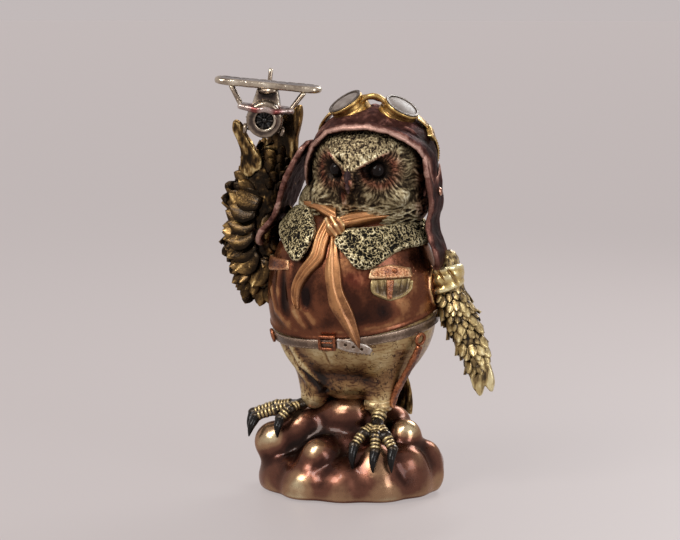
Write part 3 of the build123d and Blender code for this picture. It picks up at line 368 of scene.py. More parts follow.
# %% Paint recipe
def paint(name, ramp, metallic=0.7, roughness=0.35, coat=0.2, mottle=(9.0, 0.25), grain=(0.9, 0.15),
        bump=(0.7, 0.25), tint=None, crackle=None, relief=True, coat_roughness=0.15, shine=0.5,
        edge=(1, 1, 1)):
    """A layered metal paint. ramp is (level, colour) pairs from the grooves to the ridges."""
    material = bpy.data.materials.new(name)
    material.use_nodes = True
    tree = material.node_tree
    shader = tree.nodes["Principled BSDF"]
    add, link = tree.nodes.new, tree.links.new

    def maths(operation, a, b=None, clamp=False):
        node = add("ShaderNodeMath")
        node.operation, node.use_clamp = operation, clamp
        for socket, value in zip(node.inputs, (a, b)):
            if isinstance(value, (int, float)):
                socket.default_value = value
            elif value is not None:
                link(value, socket)
        return node.outputs[0]

    place = add("ShaderNodeTexCoord").outputs["Object"]

    def speckle(size, detail=4, stretch=None):
        node = add("ShaderNodeTexNoise")
        node.inputs["Scale"].default_value, node.inputs["Detail"].default_value = 1000 / size, detail
        if stretch:
            mapping = add("ShaderNodeMapping")
            mapping.inputs["Scale"].default_value = stretch
            link(place, mapping.inputs["Vector"])
            link(mapping.outputs[0], node.inputs["Vector"])
        else:
            link(place, node.inputs["Vector"])
        return node.outputs["Fac"]

    broad, fine = speckle(mottle[0]), speckle(grain[0])
    if relief:
        mark = add("ShaderNodeAttribute")
        mark.attribute_name = "relief"
        level = mark.outputs["Fac"]
    else:
        level = 0.5
    level = maths("ADD", level, maths("MULTIPLY", maths("SUBTRACT", broad, 0.5), mottle[1] * 2))
    level = maths("ADD", level, maths("MULTIPLY", maths("SUBTRACT", fine, 0.5), grain[1] * 2), clamp=True)
    if crackle:
        size, width, depth = crackle
        line = maths("ABSOLUTE", maths("SUBTRACT", speckle(size, 3, (1, 1, 0.55)), 0.5))
        cut = maths("MULTIPLY", maths("LESS_THAN", line, width),
            maths("GREATER_THAN", speckle(size * 2.5, 2), 0.5))
        level = maths("SUBTRACT", level, maths("MULTIPLY", cut, depth), clamp=True)
    bands = add("ShaderNodeValToRGB")
    bands.color_ramp.interpolation = "EASE"
    while len(bands.color_ramp.elements) < len(ramp):
        bands.color_ramp.elements.new(0.5)
    for element, (position, colour) in zip(bands.color_ramp.elements, ramp):
        element.position, element.color = position, (*colour, 1)
    link(level, bands.inputs[0])
    colour = bands.outputs[0]
    if tint:
        wash = add("ShaderNodeAttribute")
        wash.attribute_name = "tint"
        blend = add("ShaderNodeMix")
        blend.data_type, blend.blend_type = "RGBA", "MIX"
        link(maths("MULTIPLY", wash.outputs["Fac"], maths("ADD", 0.55, broad), clamp=True),
            blend.inputs["Factor"])
        link(colour, blend.inputs[6])
        tinted = add("ShaderNodeMix")
        tinted.data_type, tinted.blend_type = "RGBA", "MULTIPLY"
        tinted.inputs["Factor"].default_value = 1.0
        link(colour, tinted.inputs[6])
        tinted.inputs[7].default_value = (*tint, 1)
        link(tinted.outputs[2], blend.inputs[7])
        colour = blend.outputs[2]
    link(colour, shader.inputs["Base Color"])
    shader.inputs["Metallic"].default_value = metallic
    rough = add("ShaderNodeMapRange")
    link(maths("ADD", maths("MULTIPLY", broad, 0.5), maths("MULTIPLY", fine, 0.5)), rough.inputs[0])
    rough.inputs["From Min"].default_value, rough.inputs["From Max"].default_value = 0.35, 0.65
    rough.inputs["To Min"].default_value, rough.inputs["To Max"].default_value = max(roughness - 0.1,
        0.04), roughness + 0.14
    link(rough.outputs[0], shader.inputs["Roughness"])
    shader.inputs["Specular IOR Level"].default_value = shine
    shader.inputs["Specular Tint"].default_value = (*edge, 1)
    shader.inputs["Coat Weight"].default_value = coat
    shader.inputs["Coat Roughness"].default_value = coat_roughness
    bumps = add("ShaderNodeBump")
    bumps.inputs["Strength"].default_value, bumps.inputs["Distance"].default_value = bump[1], 0.0004
    link(speckle(bump[0], 5), bumps.inputs["Height"])
    link(bumps.outputs[0], shader.inputs["Normal"])
    return material

# %% [markdown]
# ## Mound
# The base is a heap of rounded rock, cast in one piece and lacquered. Each lump is a ball of clay,
# and a wide blend runs them together. Champagne sits on the tops, copper on the slopes, and a
# purple-brown wash lies in the creases.

# %% Mound of rounded rock
LUMPS = [
    (-13.5, -33.0, 6.0, 12.0), (5.0, -34.5, 6.0, 12.0), (22.0, -30.0, 7.0, 12.0), (-33.0, -14.0, 6.5, 11.0),
    (38.0, -4.0, 8.5, 10.0), (-28.0, -22.0, 8.0, 10.0), (34.0, -18.0, 8.0, 10.0), (-35.0, -15.0, 23.5, 11.0),
    (-9.0, -30.0, 21.0, 8.5), (19.0, -26.0, 17.0, 11.0), (32.5, -19.5, 16.5, 9.5), (37.0, -3.0, 17.5, 9.0),
    (29.5, -10.0, 29.0, 8.5), (-5.0, -7.0, 35.0, 12.0), (-22.0, -11.0, 30.0, 11.0), (20.0, 2.0, 32.0, 10.0),
    (7.0, -1.0, 34.0, 12.0), (-36.0, 4.0, 13.0, 11.0), (-27.0, 19.0, 10.0, 12.0), (-9.0, 24.0, 10.0, 12.0),
    (9.0, 24.0, 9.0, 12.0), (26.0, 17.0, 10.0, 12.0), (35.0, 8.0, 12.0, 10.0), (0.0, 8.0, 32.0, 12.0),
    (-20.0, 8.0, 27.0, 12.0),
    (3.0, -9.0, 38.0, 10.5),
]
GILDED = [
    (-36.0, -22.0, 27.0, 8.5, 0.42), (-12.0, -42.0, 9.0, 8.5, 0.4), (21.0, -35.5, 17.0, 8.0, 0.45),
    (31.0, -17.0, 31.0, 6.5, 0.4),
    (43.0, -12.0, 8.0, 8.5, 0.3), (-9.0, -37.0, 24.0, 4.5, 0.3), (-2.0, -17.0, 40.0, 6.5, 0.22),
    (-30.0, -27.0, 6.0, 6.0, 0.25),
    (-20.0, 30.0, 14.0, 9.0, 0.35), (14.0, 33.0, 12.0, 9.0, 0.35), (40.0, 14.0, 12.0, 8.0, 0.3),
    (-43.0, 6.0, 13.0, 8.0, 0.3),
]
FELT_THICK = 0.8
mound_clay = Clay((-52, -50, -2), (52, 42, 50), 0.7)
mound_clay.add(ellipsoid((0, -5, 0), (34, 30, 37))).add(ellipsoid((1, -7.5, 5), (41.5, 35.5, 21)), 4)
for x, y, z, radius in LUMPS:
    mound_clay.add(ellipsoid((x, y, z), (radius - 0.6, radius - 0.6, radius - 0.8)), 6.4)
mound_clay.keep(beyond((0, 0, FELT_THICK), (0, 0, 1)), 1.5)
points, faces = mound_clay.mesh()
relief = 1.7 * mound_clay.openness(points, 10) + 0.9 * mound_clay.openness(points,
    4) + 0.2 * layered(points, 20, 2, 4)
relief = 0.35 + 0.2 * (relief - relief.mean()) / relief.std()
for x, y, z, size, amount in GILDED:
    far = np.linalg.norm((points - (x, y, z)) / size, axis=1)
    relief = relief + amount * np.exp(-far ** 2) * (0.8 + 0.5 * noise(points, 6, 5))
# Painted shade: the mound darkens over its lowest 2.5 mm, where it meets the table.
relief = np.where(points[:, 2] < 2.5, relief - (2.5 - points[:, 2]) * 0.3, relief)
mound_lacquer = paint("mound_lacquer", [
    (0.0, (0.008, 0.003, 0.002)), (0.25, (0.045, 0.014, 0.009)), (0.5, (0.15, 0.058, 0.036)),
    (0.72, (0.36, 0.21, 0.115)), (1.0, (0.72, 0.6, 0.37))],
    metallic=0.8, roughness=0.25, coat=0.2, edge=(0.8, 0.6, 0.5), mottle=(15, 0.14), grain=(2.0, 0.04),
    bump=(3.0, 0.05), coat_roughness=0.08)
place_piece("rock_mound", points, faces, mound_lacquer, relief, "base_mound")

# %% [markdown]
# ## Breeches
# The flying breeches are one balloon from belt to crotch, which narrows into two legs. Blending
# ellipsoids and tapered rods gives that shape, and thin sticks cut into it or laid on it give the
# pulled folds of the cloth.

# %% Breeches
HEM_POINT, HEM_UP = (1.5, 0, 84.5), (-0.09, -0.145, 1)
breeches_clay = Clay((-45, -42, 38), (46, 42, 96), 0.6)
breeches_clay.add(ellipsoid((1.5, 0, 86), (40, 36.5, 37)))
breeches_clay.add(ellipsoid((1, -5, 55.6), (19, 20, 11)), 4)
breeches_clay.add(stick([(-13.5, -4, 68), (-16.5, -11, 46.5)], [16, 6.4]), 4)
breeches_clay.add(stick([(18, -5, 68), (17, -14, 44.5)], [16, 6.0]), 4)
breeches_clay.add(ellipsoid((-14.5, -13.0, 50.0), (6.2, 5.6, 7.5)), 3)
BREECHES_FOLDS = [
    [(-33, -14, 78), (-27, -18, 68), (-19.5, -19.5, 58), (-14, -18.5, 52)],
    [(-24, -26, 74), (-19, -25, 64), (-11, -22, 56)],
]
BREECHES_GROOVES = [
    [(-29, -22, 74), (-22.5, -24.5, 64), (-15, -24, 56), (-8, -22, 50)],
    [(-8, -27.0, 51.5), (0, -28.5, 54.5), (8, -28, 52.5)],
    [(-10.5, -19.0, 47), (-6.5, -20, 52), (-4, -21, 56)],
]
for fold in BREECHES_FOLDS:
    breeches_clay.add(stick(fold, [0.6] + [1.2] * (len(fold) - 2) + [0.6]), 3.6)
for groove in BREECHES_GROOVES:
    breeches_clay.cut(stick(groove, [0.4] + [0.9] * (len(groove) - 2) + [0.4]), 2.4)
FLY = [(-5.4, -33.9, 73.5), (-4.2, -32.0, 69), (-2.4, -29.2, 63.9)]
breeches_clay.cut(stick(FLY, [0.5, 0.6, 0.3]), 0.3)
breeches_clay.keep(beyond((1.5, 0, 89), (0.09, 0.2, -1)), 0.5)
points, faces, normals = breeches_clay.skin()
points = points + normals * (0.35 * noise(points, 9, 21) + 0.06 * noise(points, 1.5, 22))[:, None]
relief = 0.5 + 1.7 * breeches_clay.openness(points, 9) + 0.9 * breeches_clay.openness(points, 2.5)
lap = noise(points * (0.35, 0.35, 1.6) + 0.8 * np.sin(points[:, :1] / 9), 2.2, 23)
relief = relief - 0.3 * np.clip(1 - np.abs(lap) * 9, 0, 1) + 0.18 * layered(points, 12, 2,
    24) + 0.16 * np.clip((points[:, 2] - 58) / 20, 0, 1)
# Painted shade: the lower part of the right leg, round x = -12 mm, is darkened below 70 mm.
relief = relief - 0.3 * np.clip(1 - np.abs(points[:, 0] + 12) / 12, 0,
    1) * np.clip((70 - points[:, 2]) / 15, 0, 1)
# Painted shade under the crotch, on its front side.
crotch_shade = np.exp(-((points[:, 0] + 1) / 10) ** 2 - ((points[:, 2] - 52) / 5) ** 2) * (points[:, 1] < 0)
relief = relief - 0.28 * crotch_shade
# Painted shadow: a dark strip on the breeches just above the belt, under the jacket's hem.
hem_shadow = (points - HEM_POINT) @ np.array(HEM_UP) + 0.6
relief = relief - 0.45 * np.clip(hem_shadow, 0, 1)
breeches_gold = paint("breeches_gold", [
    (0.0, (0.015, 0.007, 0.004)), (0.3, (0.11, 0.045, 0.018)), (0.55, (0.31, 0.17, 0.066)),
    (0.78, (0.5, 0.34, 0.15)), (1.0, (0.7, 0.55, 0.3))],
    metallic=0.6, roughness=0.36, coat=0.15, crackle=(2.6, 0.018, 0.45))
place_piece("flying_breeches", points, faces, breeches_gold, relief, "breeches")

# %% [markdown]
# ## Jacket
# The leather jacket pulls tight over the round chest and puckers where the belt holds it.

# %% Jacket
CHEST = ((0.8, 0, 97), (42.5, 38.5, 50))
PULLED_FOLDS = [
    [(-17.8, 100.5), (-14.7, 93.7), (-9.5, 86.7)], [(-28.8, 112.9), (-29.4, 100.4), (-26.4, 88.0)],
    [(-23.5, 112.5), (-22.3, 101.2), (-19.3, 91.8), (-14.6, 85.0)],
    [(-34.3, 100.0), (-31.1, 90.9), (-24.4, 84.8)],
]
DENTS = [((-13.0, 98.5), (3.0, 3.2, 7.5)), ((-25.8, 97.0), (2.6, 3.1, 9.5))]
DENT_SHADE_AND_STAINS = [((16.0, 89.5), (9.0, 4.0)), ((24.0, 93.5), (7.0, 4.0)), ((-13.0, 98.5), (4.0, 9.0)),
    ((-25.8, 97.0), (3.5, 11.0))]


jacket_clay = Clay((-46, -43, 70), (47, 43, 148), 0.6)
jacket_clay.add(ellipsoid(*CHEST))
for fold in PULLED_FOLDS:
    jacket_clay.add(stick(front_line(CHEST, fold, -0.9), [1.0] + [1.5] * (len(fold) - 2) + [0.7]), 3.6)
for place, half in DENTS:
    seat = front_line(CHEST, [place], half[1] - 0.5)[0]
    jacket_clay.cut(ellipsoid(seat, half), 1.8)
for n in range(26):
    turn = math.radians(-12 + 190 * (n + 0.5 + 0.3 * math.sin(n * 5)) / 26)
    low, high = 82.0 + 2.5 * math.sin(n * 3.1), 92.0 + 6.0 * abs(math.sin(n * 1.7))
    ring = [(0.8 + 42.5 * w * math.cos(turn), 38.5 * w * math.sin(turn), h) for h in (low, (low + high) / 2,
        high)
            for w in [math.sqrt(1 - ((h - 97) / 50) ** 2) - 0.02]]
    jacket_clay.add(stick(ring, [1.2, 0.9, 0.4]), 2.6)
armhole = [(41.5, -5.0, 111.0), (41.4, -9.6, 106.5), (41.6, -10.6, 101.0), (42.6, -8.4, 95.0),
    (43.4, -2.0, 91.5)]
jacket_clay.add(stick(armhole, [0.8] * 5), 0.5)
jacket_clay.cut(stick([(p[0] + 0.6, p[1] + 1.9, p[2]) for p in armhole], [0.8] * 5), 0.5)
chest_away = ellipsoid(*CHEST)[0]


def above_hem(x, y, z):
    """Height above the jacket's hem, which dips in front."""
    return (z - 87.0 - 0.09 * (x - 1.5) - np.where(y < 0, 0.25, 0.1) * y) * 0.95

def hem_lip(x, y, z):
    """A thin roll where the jacket's hem is turned under."""
    return np.hypot(above_hem(x, y, z) - 1.2, chest_away(x, y, z)) - 0.8


jacket_clay.keep((lambda x, y, z: -above_hem(x, y, z), *EVERYWHERE), 1.6)
jacket_clay.add((hem_lip, np.float32([-45, -42, 74]), np.float32([46, 42, 96])), 0.8)
points, faces, normals = jacket_clay.skin()
points = points + normals * (0.25 * noise(points, 11, 30) + 0.05 * noise(points, 1.6, 31))[:, None]
relief = 0.33 + 1.8 * jacket_clay.openness(points, 8) + 0.9 * jacket_clay.openness(points,
    2.5) + 0.24 * layered(points, 14, 3, 32)
# Darker patches on the front: the two over the dents are painted shade of the dents, and the two low on the
# right darken the paint there.
for (x, z), (wide, high) in DENT_SHADE_AND_STAINS:
    off = np.hypot((points[:, 0] - x) / wide, (points[:, 2] - z) / high) + 0.25 * noise(points, 5, 35)
    relief = relief - 0.24 * np.clip(1.3 - off, 0, 1) * (points[:, 1] < 0)
px, pz, ahead = points[:, 0], points[:, 2], points[:, 1] < 0
sheen = np.exp(-((px - 11) / 6) ** 2 - ((pz - 108) / 5) ** 2) * ahead
relief = relief + 0.14 * np.exp(-((px - 34) / 6) ** 2 - ((pz - 97) / 7) ** 2) * ahead
relief = relief + 0.35 * sheen * (0.8 + 0.8 * noise(points * (1, 1, 0.25), 1.1, 34))
# Painted shade along the turned-under hem: the band just above it is darkened and its brightest paint held
# back.
hem_shade = np.clip(1.6 - above_hem(*points.T) / 2.5, 0, 1)
relief = relief * (1 - hem_shade) + np.minimum(relief - 0.2, 0.42) * hem_shade
jacket_copper = paint("jacket_copper", [
    (0.0, (0.010, 0.004, 0.004)), (0.3, (0.05, 0.015, 0.008)), (0.58, (0.16, 0.052, 0.024)),
    (0.8, (0.38, 0.175, 0.075)), (1.0, (0.64, 0.4, 0.19))],
    metallic=0.8, roughness=0.28, coat=0.15, edge=(0.8, 0.55, 0.4), mottle=(12, 0.25), grain=(1.2, 0.08),
    bump=(1.2, 0.15), tint=(0.95, 0.66, 0.8))
place_piece("flying_jacket", points, faces, jacket_copper, relief, "jacket", tint=sheen)

# %% [markdown]
# ## Clay from a CAD solid
# Many pieces already have the right shape in the CAD frame, only too crisp for cast resin. Such a
# solid is read into a clay block, softened a little, and then carved like any other clay.

# %% Read a CAD solid into clay
def clay_from(node, cell, soften=1, margin=3.0):
    """A clay block that holds a CAD solid, with its edges softened by some cells."""
    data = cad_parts[node].data
    points = np.empty(len(data.vertices) * 3, np.float32)
    data.vertices.foreach_get("co", points)
    data.calc_loop_triangles()
    triangles = np.empty(len(data.loop_triangles) * 3, np.int32)
    data.loop_triangles.foreach_get("vertices", triangles)
    merged, first = np.unique(np.round(points.reshape(-1, 3) / MM, 4), axis=0, return_inverse=True)
    triangles = first.reshape(-1)[triangles.reshape(-1, 3)]
    triangles = triangles[(triangles != np.roll(triangles, 1, axis=1)).all(1)]
    spread = np.array(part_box(node)) / MM
    block = Clay(np.floor((spread.min(0) - margin) / cell) * cell, spread.max(0) + margin, cell)
    shape = openvdb.FloatGrid.createLevelSetFromPolygons(
        merged.astype(np.float32), triangles=triangles.astype(np.uint32),
        transform=openvdb.createLinearTransform(cell), halfWidth=4)
    values = np.zeros(block.field.shape, np.float32)
    shape.copyToArray(values, ijk=tuple(int(v) for v in np.round(block.low / cell)))
    block.field = box_blur(np.minimum(block.field, values), soften)
    return block


def prism(outline, low_y, high_y):
    """Distance from a column along y whose outline (x, z) is a polygon."""
    p = np.float32(outline)

    def away(x, y, z):
        nearest, inside = None, None
        for a, b in zip(p, np.roll(p, -1, axis=0)):
            d = b - a
            t = np.clip(((x - a[0]) * d[0] + (z - a[1]) * d[1]) / float(d @ d), 0, 1)
            gap = (x - a[0] - t * d[0]) ** 2 + (z - a[1] - t * d[1]) ** 2
            crossing = ((a[1] <= z) & (z < b[1]) | (b[1] <= z) & (z < a[1])) & (
                x < a[0] + (z - a[1]) * d[0] / (d[1] if abs(d[1]) > 1e-6 else 1e-6))
            nearest = gap if nearest is None else np.minimum(nearest, gap)
            inside = crossing if inside is None else inside ^ crossing
        flat = np.sqrt(nearest) * np.where(inside, -1, 1)
        return np.maximum(np.maximum(flat, low_y - y), y - high_y)
    return away, np.float32([p[:, 0].min(), low_y, p[:, 1].min()]), np.float32([p[:, 0].max(), high_y,
        p[:, 1].max()])

# %% [markdown]
# ## Head
# The owl's face is a shallow dish round each eye, under two stern brows. Its fine feathers are cut
# strokes that fan out from the eyes, and the forehead is covered in short curls. The strokes are
# noise read in polar coordinates about the nearer eye, so they point the way real barbs do.

# %% Sculpt the head
SKULL = ((10, -2, 159), (28.5, 30.5, 31))
NECK = ((6.5, -1, 142), (32.5, 26, 17))
EYES = [(-1.2, 159.8), (20.9, 159.4)]
BROWS = [[(5.3, 159.1), (3.2, 161.9), (0.9, 163.7), (-1.4, 165.9), (-3.9, 167.7)],
         [(9.3, 159.2), (13.2, 161.6), (17.3, 164.0), (21.6, 166.3), (25.3, 168.1)]]
CROWN, CROWN_FROM = ((10.8, 2, 152), (37, 40, 37.3)), 168


def crown(thin):
    """The flattened top of the skull, with everything below it."""
    away, _, _ = ellipsoid(CROWN[0], [h - thin for h in CROWN[1]])
    return (lambda x, y, z: np.minimum(away(x, y, z), z - CROWN_FROM)), *EVERYWHERE

head_clay = Clay((-29, -40, 123), (42, 30, 192), 0.45)
head_clay.add(ellipsoid(*SKULL)).add(ellipsoid(*NECK), 3)
forehead = [(7.3, 158.6), (-4.5, 168.6), (-9, 172), (0, 178), (16, 179), (28, 174), (26.5, 168.8)]
plate_away, plate_low, plate_high = prism(forehead, -60, -8)
grown, _, _ = ellipsoid(SKULL[0], [h + 1.3 for h in SKULL[1]])
head_clay.add((lambda x, y, z: np.maximum(plate_away(x, y, z), grown(x, y, z)), plate_low, plate_high), 1.6)
for (x, z), half in zip(EYES, ((7.2, 4.6, 5.6), (8.4, 4.6, 6.0))):
    seat = on_front(SKULL, x, z, 1.2)
    head_clay.cut(ellipsoid(seat, half), 2.2)
for line in BROWS:
    head_clay.add(stick(front_line(SKULL, line, 1.0), [0.9, 1.0, 1.0, 0.9, 0.6]), 0.7)
head_clay.add(stick([(7.2, -32.0, 160), (7.0, -34.6, 153)], [2.4, 2.9]), 2.5)
head_clay.add(stick([(6.6, -33.2, 153), (5.0, -30.6, 144.4)], [3.0, 1.8]), 3)
head_clay.add(ellipsoid((24.5, -20.5, 147), (9.5, 6.5, 6.5)), 3)
head_clay.add(ellipsoid((-7, -21, 148), (7.5, 6, 6.5)), 3)
head_clay.keep(crown(2.0), 1)
points, faces, normals = head_clay.skin()

# %% Comb the face with strokes
x, y, z = points.T
around = [(x - ex, z - ez) for ex, ez in EYES]
radii = [np.hypot(dx, dz) for dx, dz in around]
nearer = radii[1] < radii[0]
radius = np.where(nearer, radii[1], radii[0])
angle = np.where(nearer, *(np.arctan2(dz, dx) for dx, dz in around[::-1]))
bend = angle + 0.25 * noise(points, 7, 3)
fan = np.stack([bend * 13, radius / 3.4, nearer * 9.0], 1)
barbs = 0.6 * noise(fan, 1.15, 5) + 0.4 * noise(fan, 0.6, 6)
curls = 0.7 * (0.55 - 2.2 * np.abs(noise(points * (1, 1, 0.45), 1.05, 7))) + 0.34 * noise(points, 0.8, 8)
rows = 0.5 - 1.8 * np.abs(noise(points * (0.42, 0.42, 1.25), 2.0, 9)) + 0.3 * noise(points, 0.8, 10)
left_brow = 158.8 + (5.6 - x) * 0.98
right_brow = 158.6 + (x - 8.8) * 0.56
above = np.clip((z - np.maximum(left_brow, right_brow)) / 1.0, 0, 1) * (y < -5)
below = np.clip((144.5 - z + 1.5 * noise(points, 6, 11)) / 3.0, 0, 1)
strokes = barbs * (1 - above) * (1 - below) + curls * above + rows * (1 - above) * below
calm = np.clip((radius - 3.4) / 2.2, 0, 1)
points = points + normals * (strokes * calm * 0.6)[:, None]
hollow = head_clay.openness(points, 6)
relief = 0.4 + 0.85 * strokes * calm + 1.1 * hollow
# Painted shade: the face darkens within about 8 mm of each eye, for the shade in its socket under the brow.
# The forehead is toned a little darker.
relief = relief - 0.42 * np.clip(1 - (radius - 4.0) / 3.8, 0, 1) - 0.14 * above
beside_beak = np.exp(-((x - 7.4) / 3.6) ** 2 - ((z - 153.5) / 5.5) ** 2) * (1 - above)
relief = relief - 0.5 * beside_beak
relief = relief - 0.3 * np.clip(1.2 - np.hypot(x - 4.2, (z - 150) * 0.4) / 3.0, 0, 1) * (z < 157)
tint = np.clip(1.0 - np.abs(radius - 7.0) / 5.0, 0, 0.85) * (1 - above)
tint = np.maximum(tint, np.clip(1.2 - np.hypot(x - 4.2, (z - 149) * 0.45) / 3.6, 0, 0.9) * (z < 157))
tint = np.maximum.reduce([tint, 0.8 * np.clip((x - 34) / 3, 0, 1), beside_beak])
print("face strokes", round(float(strokes.std()), 2))

# %% Paint and place the head
face_feather = paint("face_feather", [
    (0.0, (0.008, 0.006, 0.005)), (0.3, (0.04, 0.028, 0.016)), (0.5, (0.17, 0.125, 0.068)),
    (0.72, (0.4, 0.32, 0.18)), (1.0, (0.74, 0.66, 0.45))],
    metallic=0.4, roughness=0.42, coat=0.0, shine=0.25, edge=(0.6, 0.45, 0.35), mottle=(5, 0.14),
    grain=(1.2, 0.36), bump=(0.7, 0.4), tint=(0.5, 0.2, 0.2))
place_piece("owl_head", points, faces, face_feather, relief, "head", "brow_ridges", tint=tint)

# %% [markdown]
# ## Eyes and beak
# Each eye is a lacquered black ball with a faint brown mottle. The beak is a short hooked horn.

# %% Eyes
def several(parts):
    """Points and faces of several meshes joined into one."""
    spots, sides, count = [], [], 0
    for p, f in parts:
        spots.append(np.asarray(p))
        sides.append(np.asarray(f) + count)
        count += len(p)
    return np.concatenate(spots), np.concatenate(sides)


eye_seats = [on_front(SKULL, x, z, -2.9) for x, z in EYES]
points, faces = several([Clay(seat - 5, seat + 5,
    0.22).add(ellipsoid(seat, (3.7, 3.7, 3.7))).mesh() for seat in eye_seats])
eye_black = paint("eye_black", [(0.0, (0.004, 0.003, 0.003)), (0.6, (0.01, 0.006, 0.005)),
    (1.0, (0.035, 0.016, 0.01))],
                  metallic=0.0, roughness=0.1, coat=0.05, mottle=(3, 0.3), grain=(0.5, 0.1), bump=(1, 0.02),
    relief=False, coat_roughness=0.03, shine=0.1)
place_piece("owl_eyes", points, faces, eye_black, None, "eyes")

# %% Beak
beak_clay = Clay((1, -41, 144), (13, -26, 163), 0.3)
beak_clay.add(stick([(7, -31.5, 159.5), (7.2, -35.2, 155.6), (7.5, -36.2, 151.5), (7.6, -35.4, 148.8)],
    [2.6, 2.1, 1.3, 0.5]))
beak_clay.add(stick([(7, -33.5, 160), (7.2, -37.0, 155.2), (7.5, -37.2, 150.8)], [0.9, 0.8, 0.5]), 0.8)
for side in (-1, 1):
    beak_clay.cut(stick([(7.1 + side * 1.9, -35.0, 157), (7.1 + side * 2.2, -34.4, 155.8)], [0.45, 0.35]),
        0.3)
points, faces = beak_clay.mesh()
beak_black = paint("beak_black", [(0.0, (0.006, 0.004, 0.004)), (0.6, (0.03, 0.017, 0.018)),
    (1.0, (0.2, 0.11, 0.1))],
                   metallic=0.2, roughness=0.42, coat=0.0, shine=0.2, edge=(0.5, 0.35, 0.3),
    mottle=(4, 0.2), grain=(0.6, 0.1), bump=(0.6, 0.15))
beak_relief = 0.45 + beak_clay.openness(points, 2) * 0.7 + 0.1 * noise(points, 1.0, 3)
place_piece("owl_beak", points, faces, beak_black, beak_relief, "beak")

# %% [markdown]
# ## Helmet
# A leather flying helmet fits the skull closely. Its face opening has a rolled rim, pinkish where
# the copper was rubbed off, and the leather above it is creased and split near the crown seam.

# %% Helmet shell
DOME = ((10.8, 0, 160), (31.5, 33.5, 32))
FACE_ARCH = [
    (-19.2, 128.0), (-18.6, 150.0), (-17.0, 160.0), (-12.8, 169.0), (-5.0, 175.4), (4.0, 177.4),
    (14.5, 177.8),
    (24.0, 176.0), (31.0, 172.5), (36.6, 168.0), (39.4, 163.0), (40.4, 156.0), (39.6, 146.0), (36.0, 128.0),
]
helmet_clay = Clay((-24, -37, 136), (46, 37, 196), 0.5)
helmet_clay.add(ellipsoid(*DOME)).keep(crown(0), 2)
skull_away, skull_low, skull_high = ellipsoid(SKULL[0], [h + 0.2 for h in SKULL[1]])
inner_crown = crown(1.7)[0]
helmet_clay.cut((lambda x, y, z: np.maximum(skull_away(x, y, z), inner_crown(x, y, z)), skull_low,
    skull_high), 0.5)
arch_away, arch_low, arch_high = prism(FACE_ARCH, -60, -6)
helmet_clay.cut((arch_away, arch_low, arch_high), 0.8)
rolled, _, _ = ellipsoid(DOME[0], [h + 0.6 for h in DOME[1]])
edge_away, _, _ = prism(FACE_ARCH, -90, 60)


def rolled_rim(x, y, z):
    """A soft roll of leather along the face opening."""
    across = (edge_away(x, y, z) - 2.4) / 2.4
    return np.maximum(np.hypot(across * 2.4, rolled(x, y, z)) - 1.9, y + 5.0)


helmet_clay.add((rolled_rim, arch_low - 6, arch_high + 6), 0.9)
crack = front_line(DOME, [(22.2, 183.6), (21.4, 181.9), (20.2, 180.1), (19.2, 178.2)], -1.4)
helmet_clay.cut(stick(crack, [1.2, 1.1, 0.9, 0.3]), 0.3)
CREASES = [
    [(22.5, 180.5), (27.0, 179.6), (32.0, 176.6)], [(31.0, 180.0), (34.0, 177.5), (37.0, 174.0)],
    [(-8.0, 177.0), (-3.0, 179.6), (4.0, 180.6)],
]
for crease in CREASES:
    line = front_line(DOME, crease, -0.7)
    helmet_clay.add(stick(line, [0.5, 0.9, 0.4]), 1.0)
    helmet_clay.cut(stick([p - np.array([0, 0, 1.3]) for p in line], [0.3, 0.5, 0.3]), 0.6)
points, faces, normals = helmet_clay.skin()
grainy = layered(points, 2.6, 3, 12)
beside = np.abs(points[:, 0] - DOME[0][0])
seam = (0.5 * np.exp(-(beside / 0.9) ** 2) - 0.35 * np.exp(-((beside - 1.9) / 0.45) ** 2)) * (points[:,
    1] > -3)
points = points + normals * (0.14 * grainy + 0.25 * noise(points, 7, 13) + seam)[:, None]
rim_line = np.exp(-((edge_away(*points.T) - 2.6) / 1.3) ** 2) * (points[:, 1] < -4.5)
relief = 1.2 * helmet_clay.openness(points, 5) + 0.8 * helmet_clay.openness(points, 1.8) + 0.14 * grainy
relief = relief - np.median(relief[rolled(*points.T) > -1.6]) + 0.23 + 0.42 * rim_line
helmet_leather = paint("helmet_leather", [
    (0.0, (0.006, 0.003, 0.003)), (0.3, (0.022, 0.009, 0.008)), (0.55, (0.062, 0.025, 0.021)),
    (0.8, (0.2, 0.09, 0.07)), (1.0, (0.5, 0.3, 0.24))],
    metallic=0.6, roughness=0.42, coat=0.0, edge=(0.45, 0.28, 0.22), mottle=(6, 0.2), grain=(0.8, 0.15),
    bump=(0.7, 0.45), shine=0.2)
place_piece("flying_helmet", points, faces, helmet_leather, relief, "helmet", "helmet_band")

# %% Ear flaps
def cast_piece(name, finish, node, lines=(), form=None, spacing=1.9, cell=0.5, base=0.45, swell=(6, 0.3),
               pits=(1.6, 0.08), carve=None, stain=(), wash=None):
    """A CAD solid as hand-finished resin: swellings, pits, groove marks, and stitches or rivets on lines."""
    clay = clay_from(node, cell)
    if carve:
        carve(clay)
    spots, sides, out = clay.skin()
    swollen = noise(spots, swell[0], len(name)) * swell[1] + layered(spots, pits[0], 2,
        len(name) + 1) * pits[1]
    spots = spots + out * swollen[:, None]
    level = clay.openness(spots, 5) + 0.6 * clay.openness(spots, 1.8) + swollen * 0.3
    level = level - np.median(level) + base
    for (away, _, _), amount in stain:
        level = level + amount * np.clip(0.5 - away(*spots.T) / 0.6, 0, 1)
    if lines:
        *extra, mark = set_on(*zip(*lines), form or stitch, spacing, finish)
        level = np.concatenate([level, mark])
        spots, sides = several([(spots, sides), extra])
    place_piece(name, spots, sides, finish, level, node, **({"tint": wash(spots)} if wash else {}))


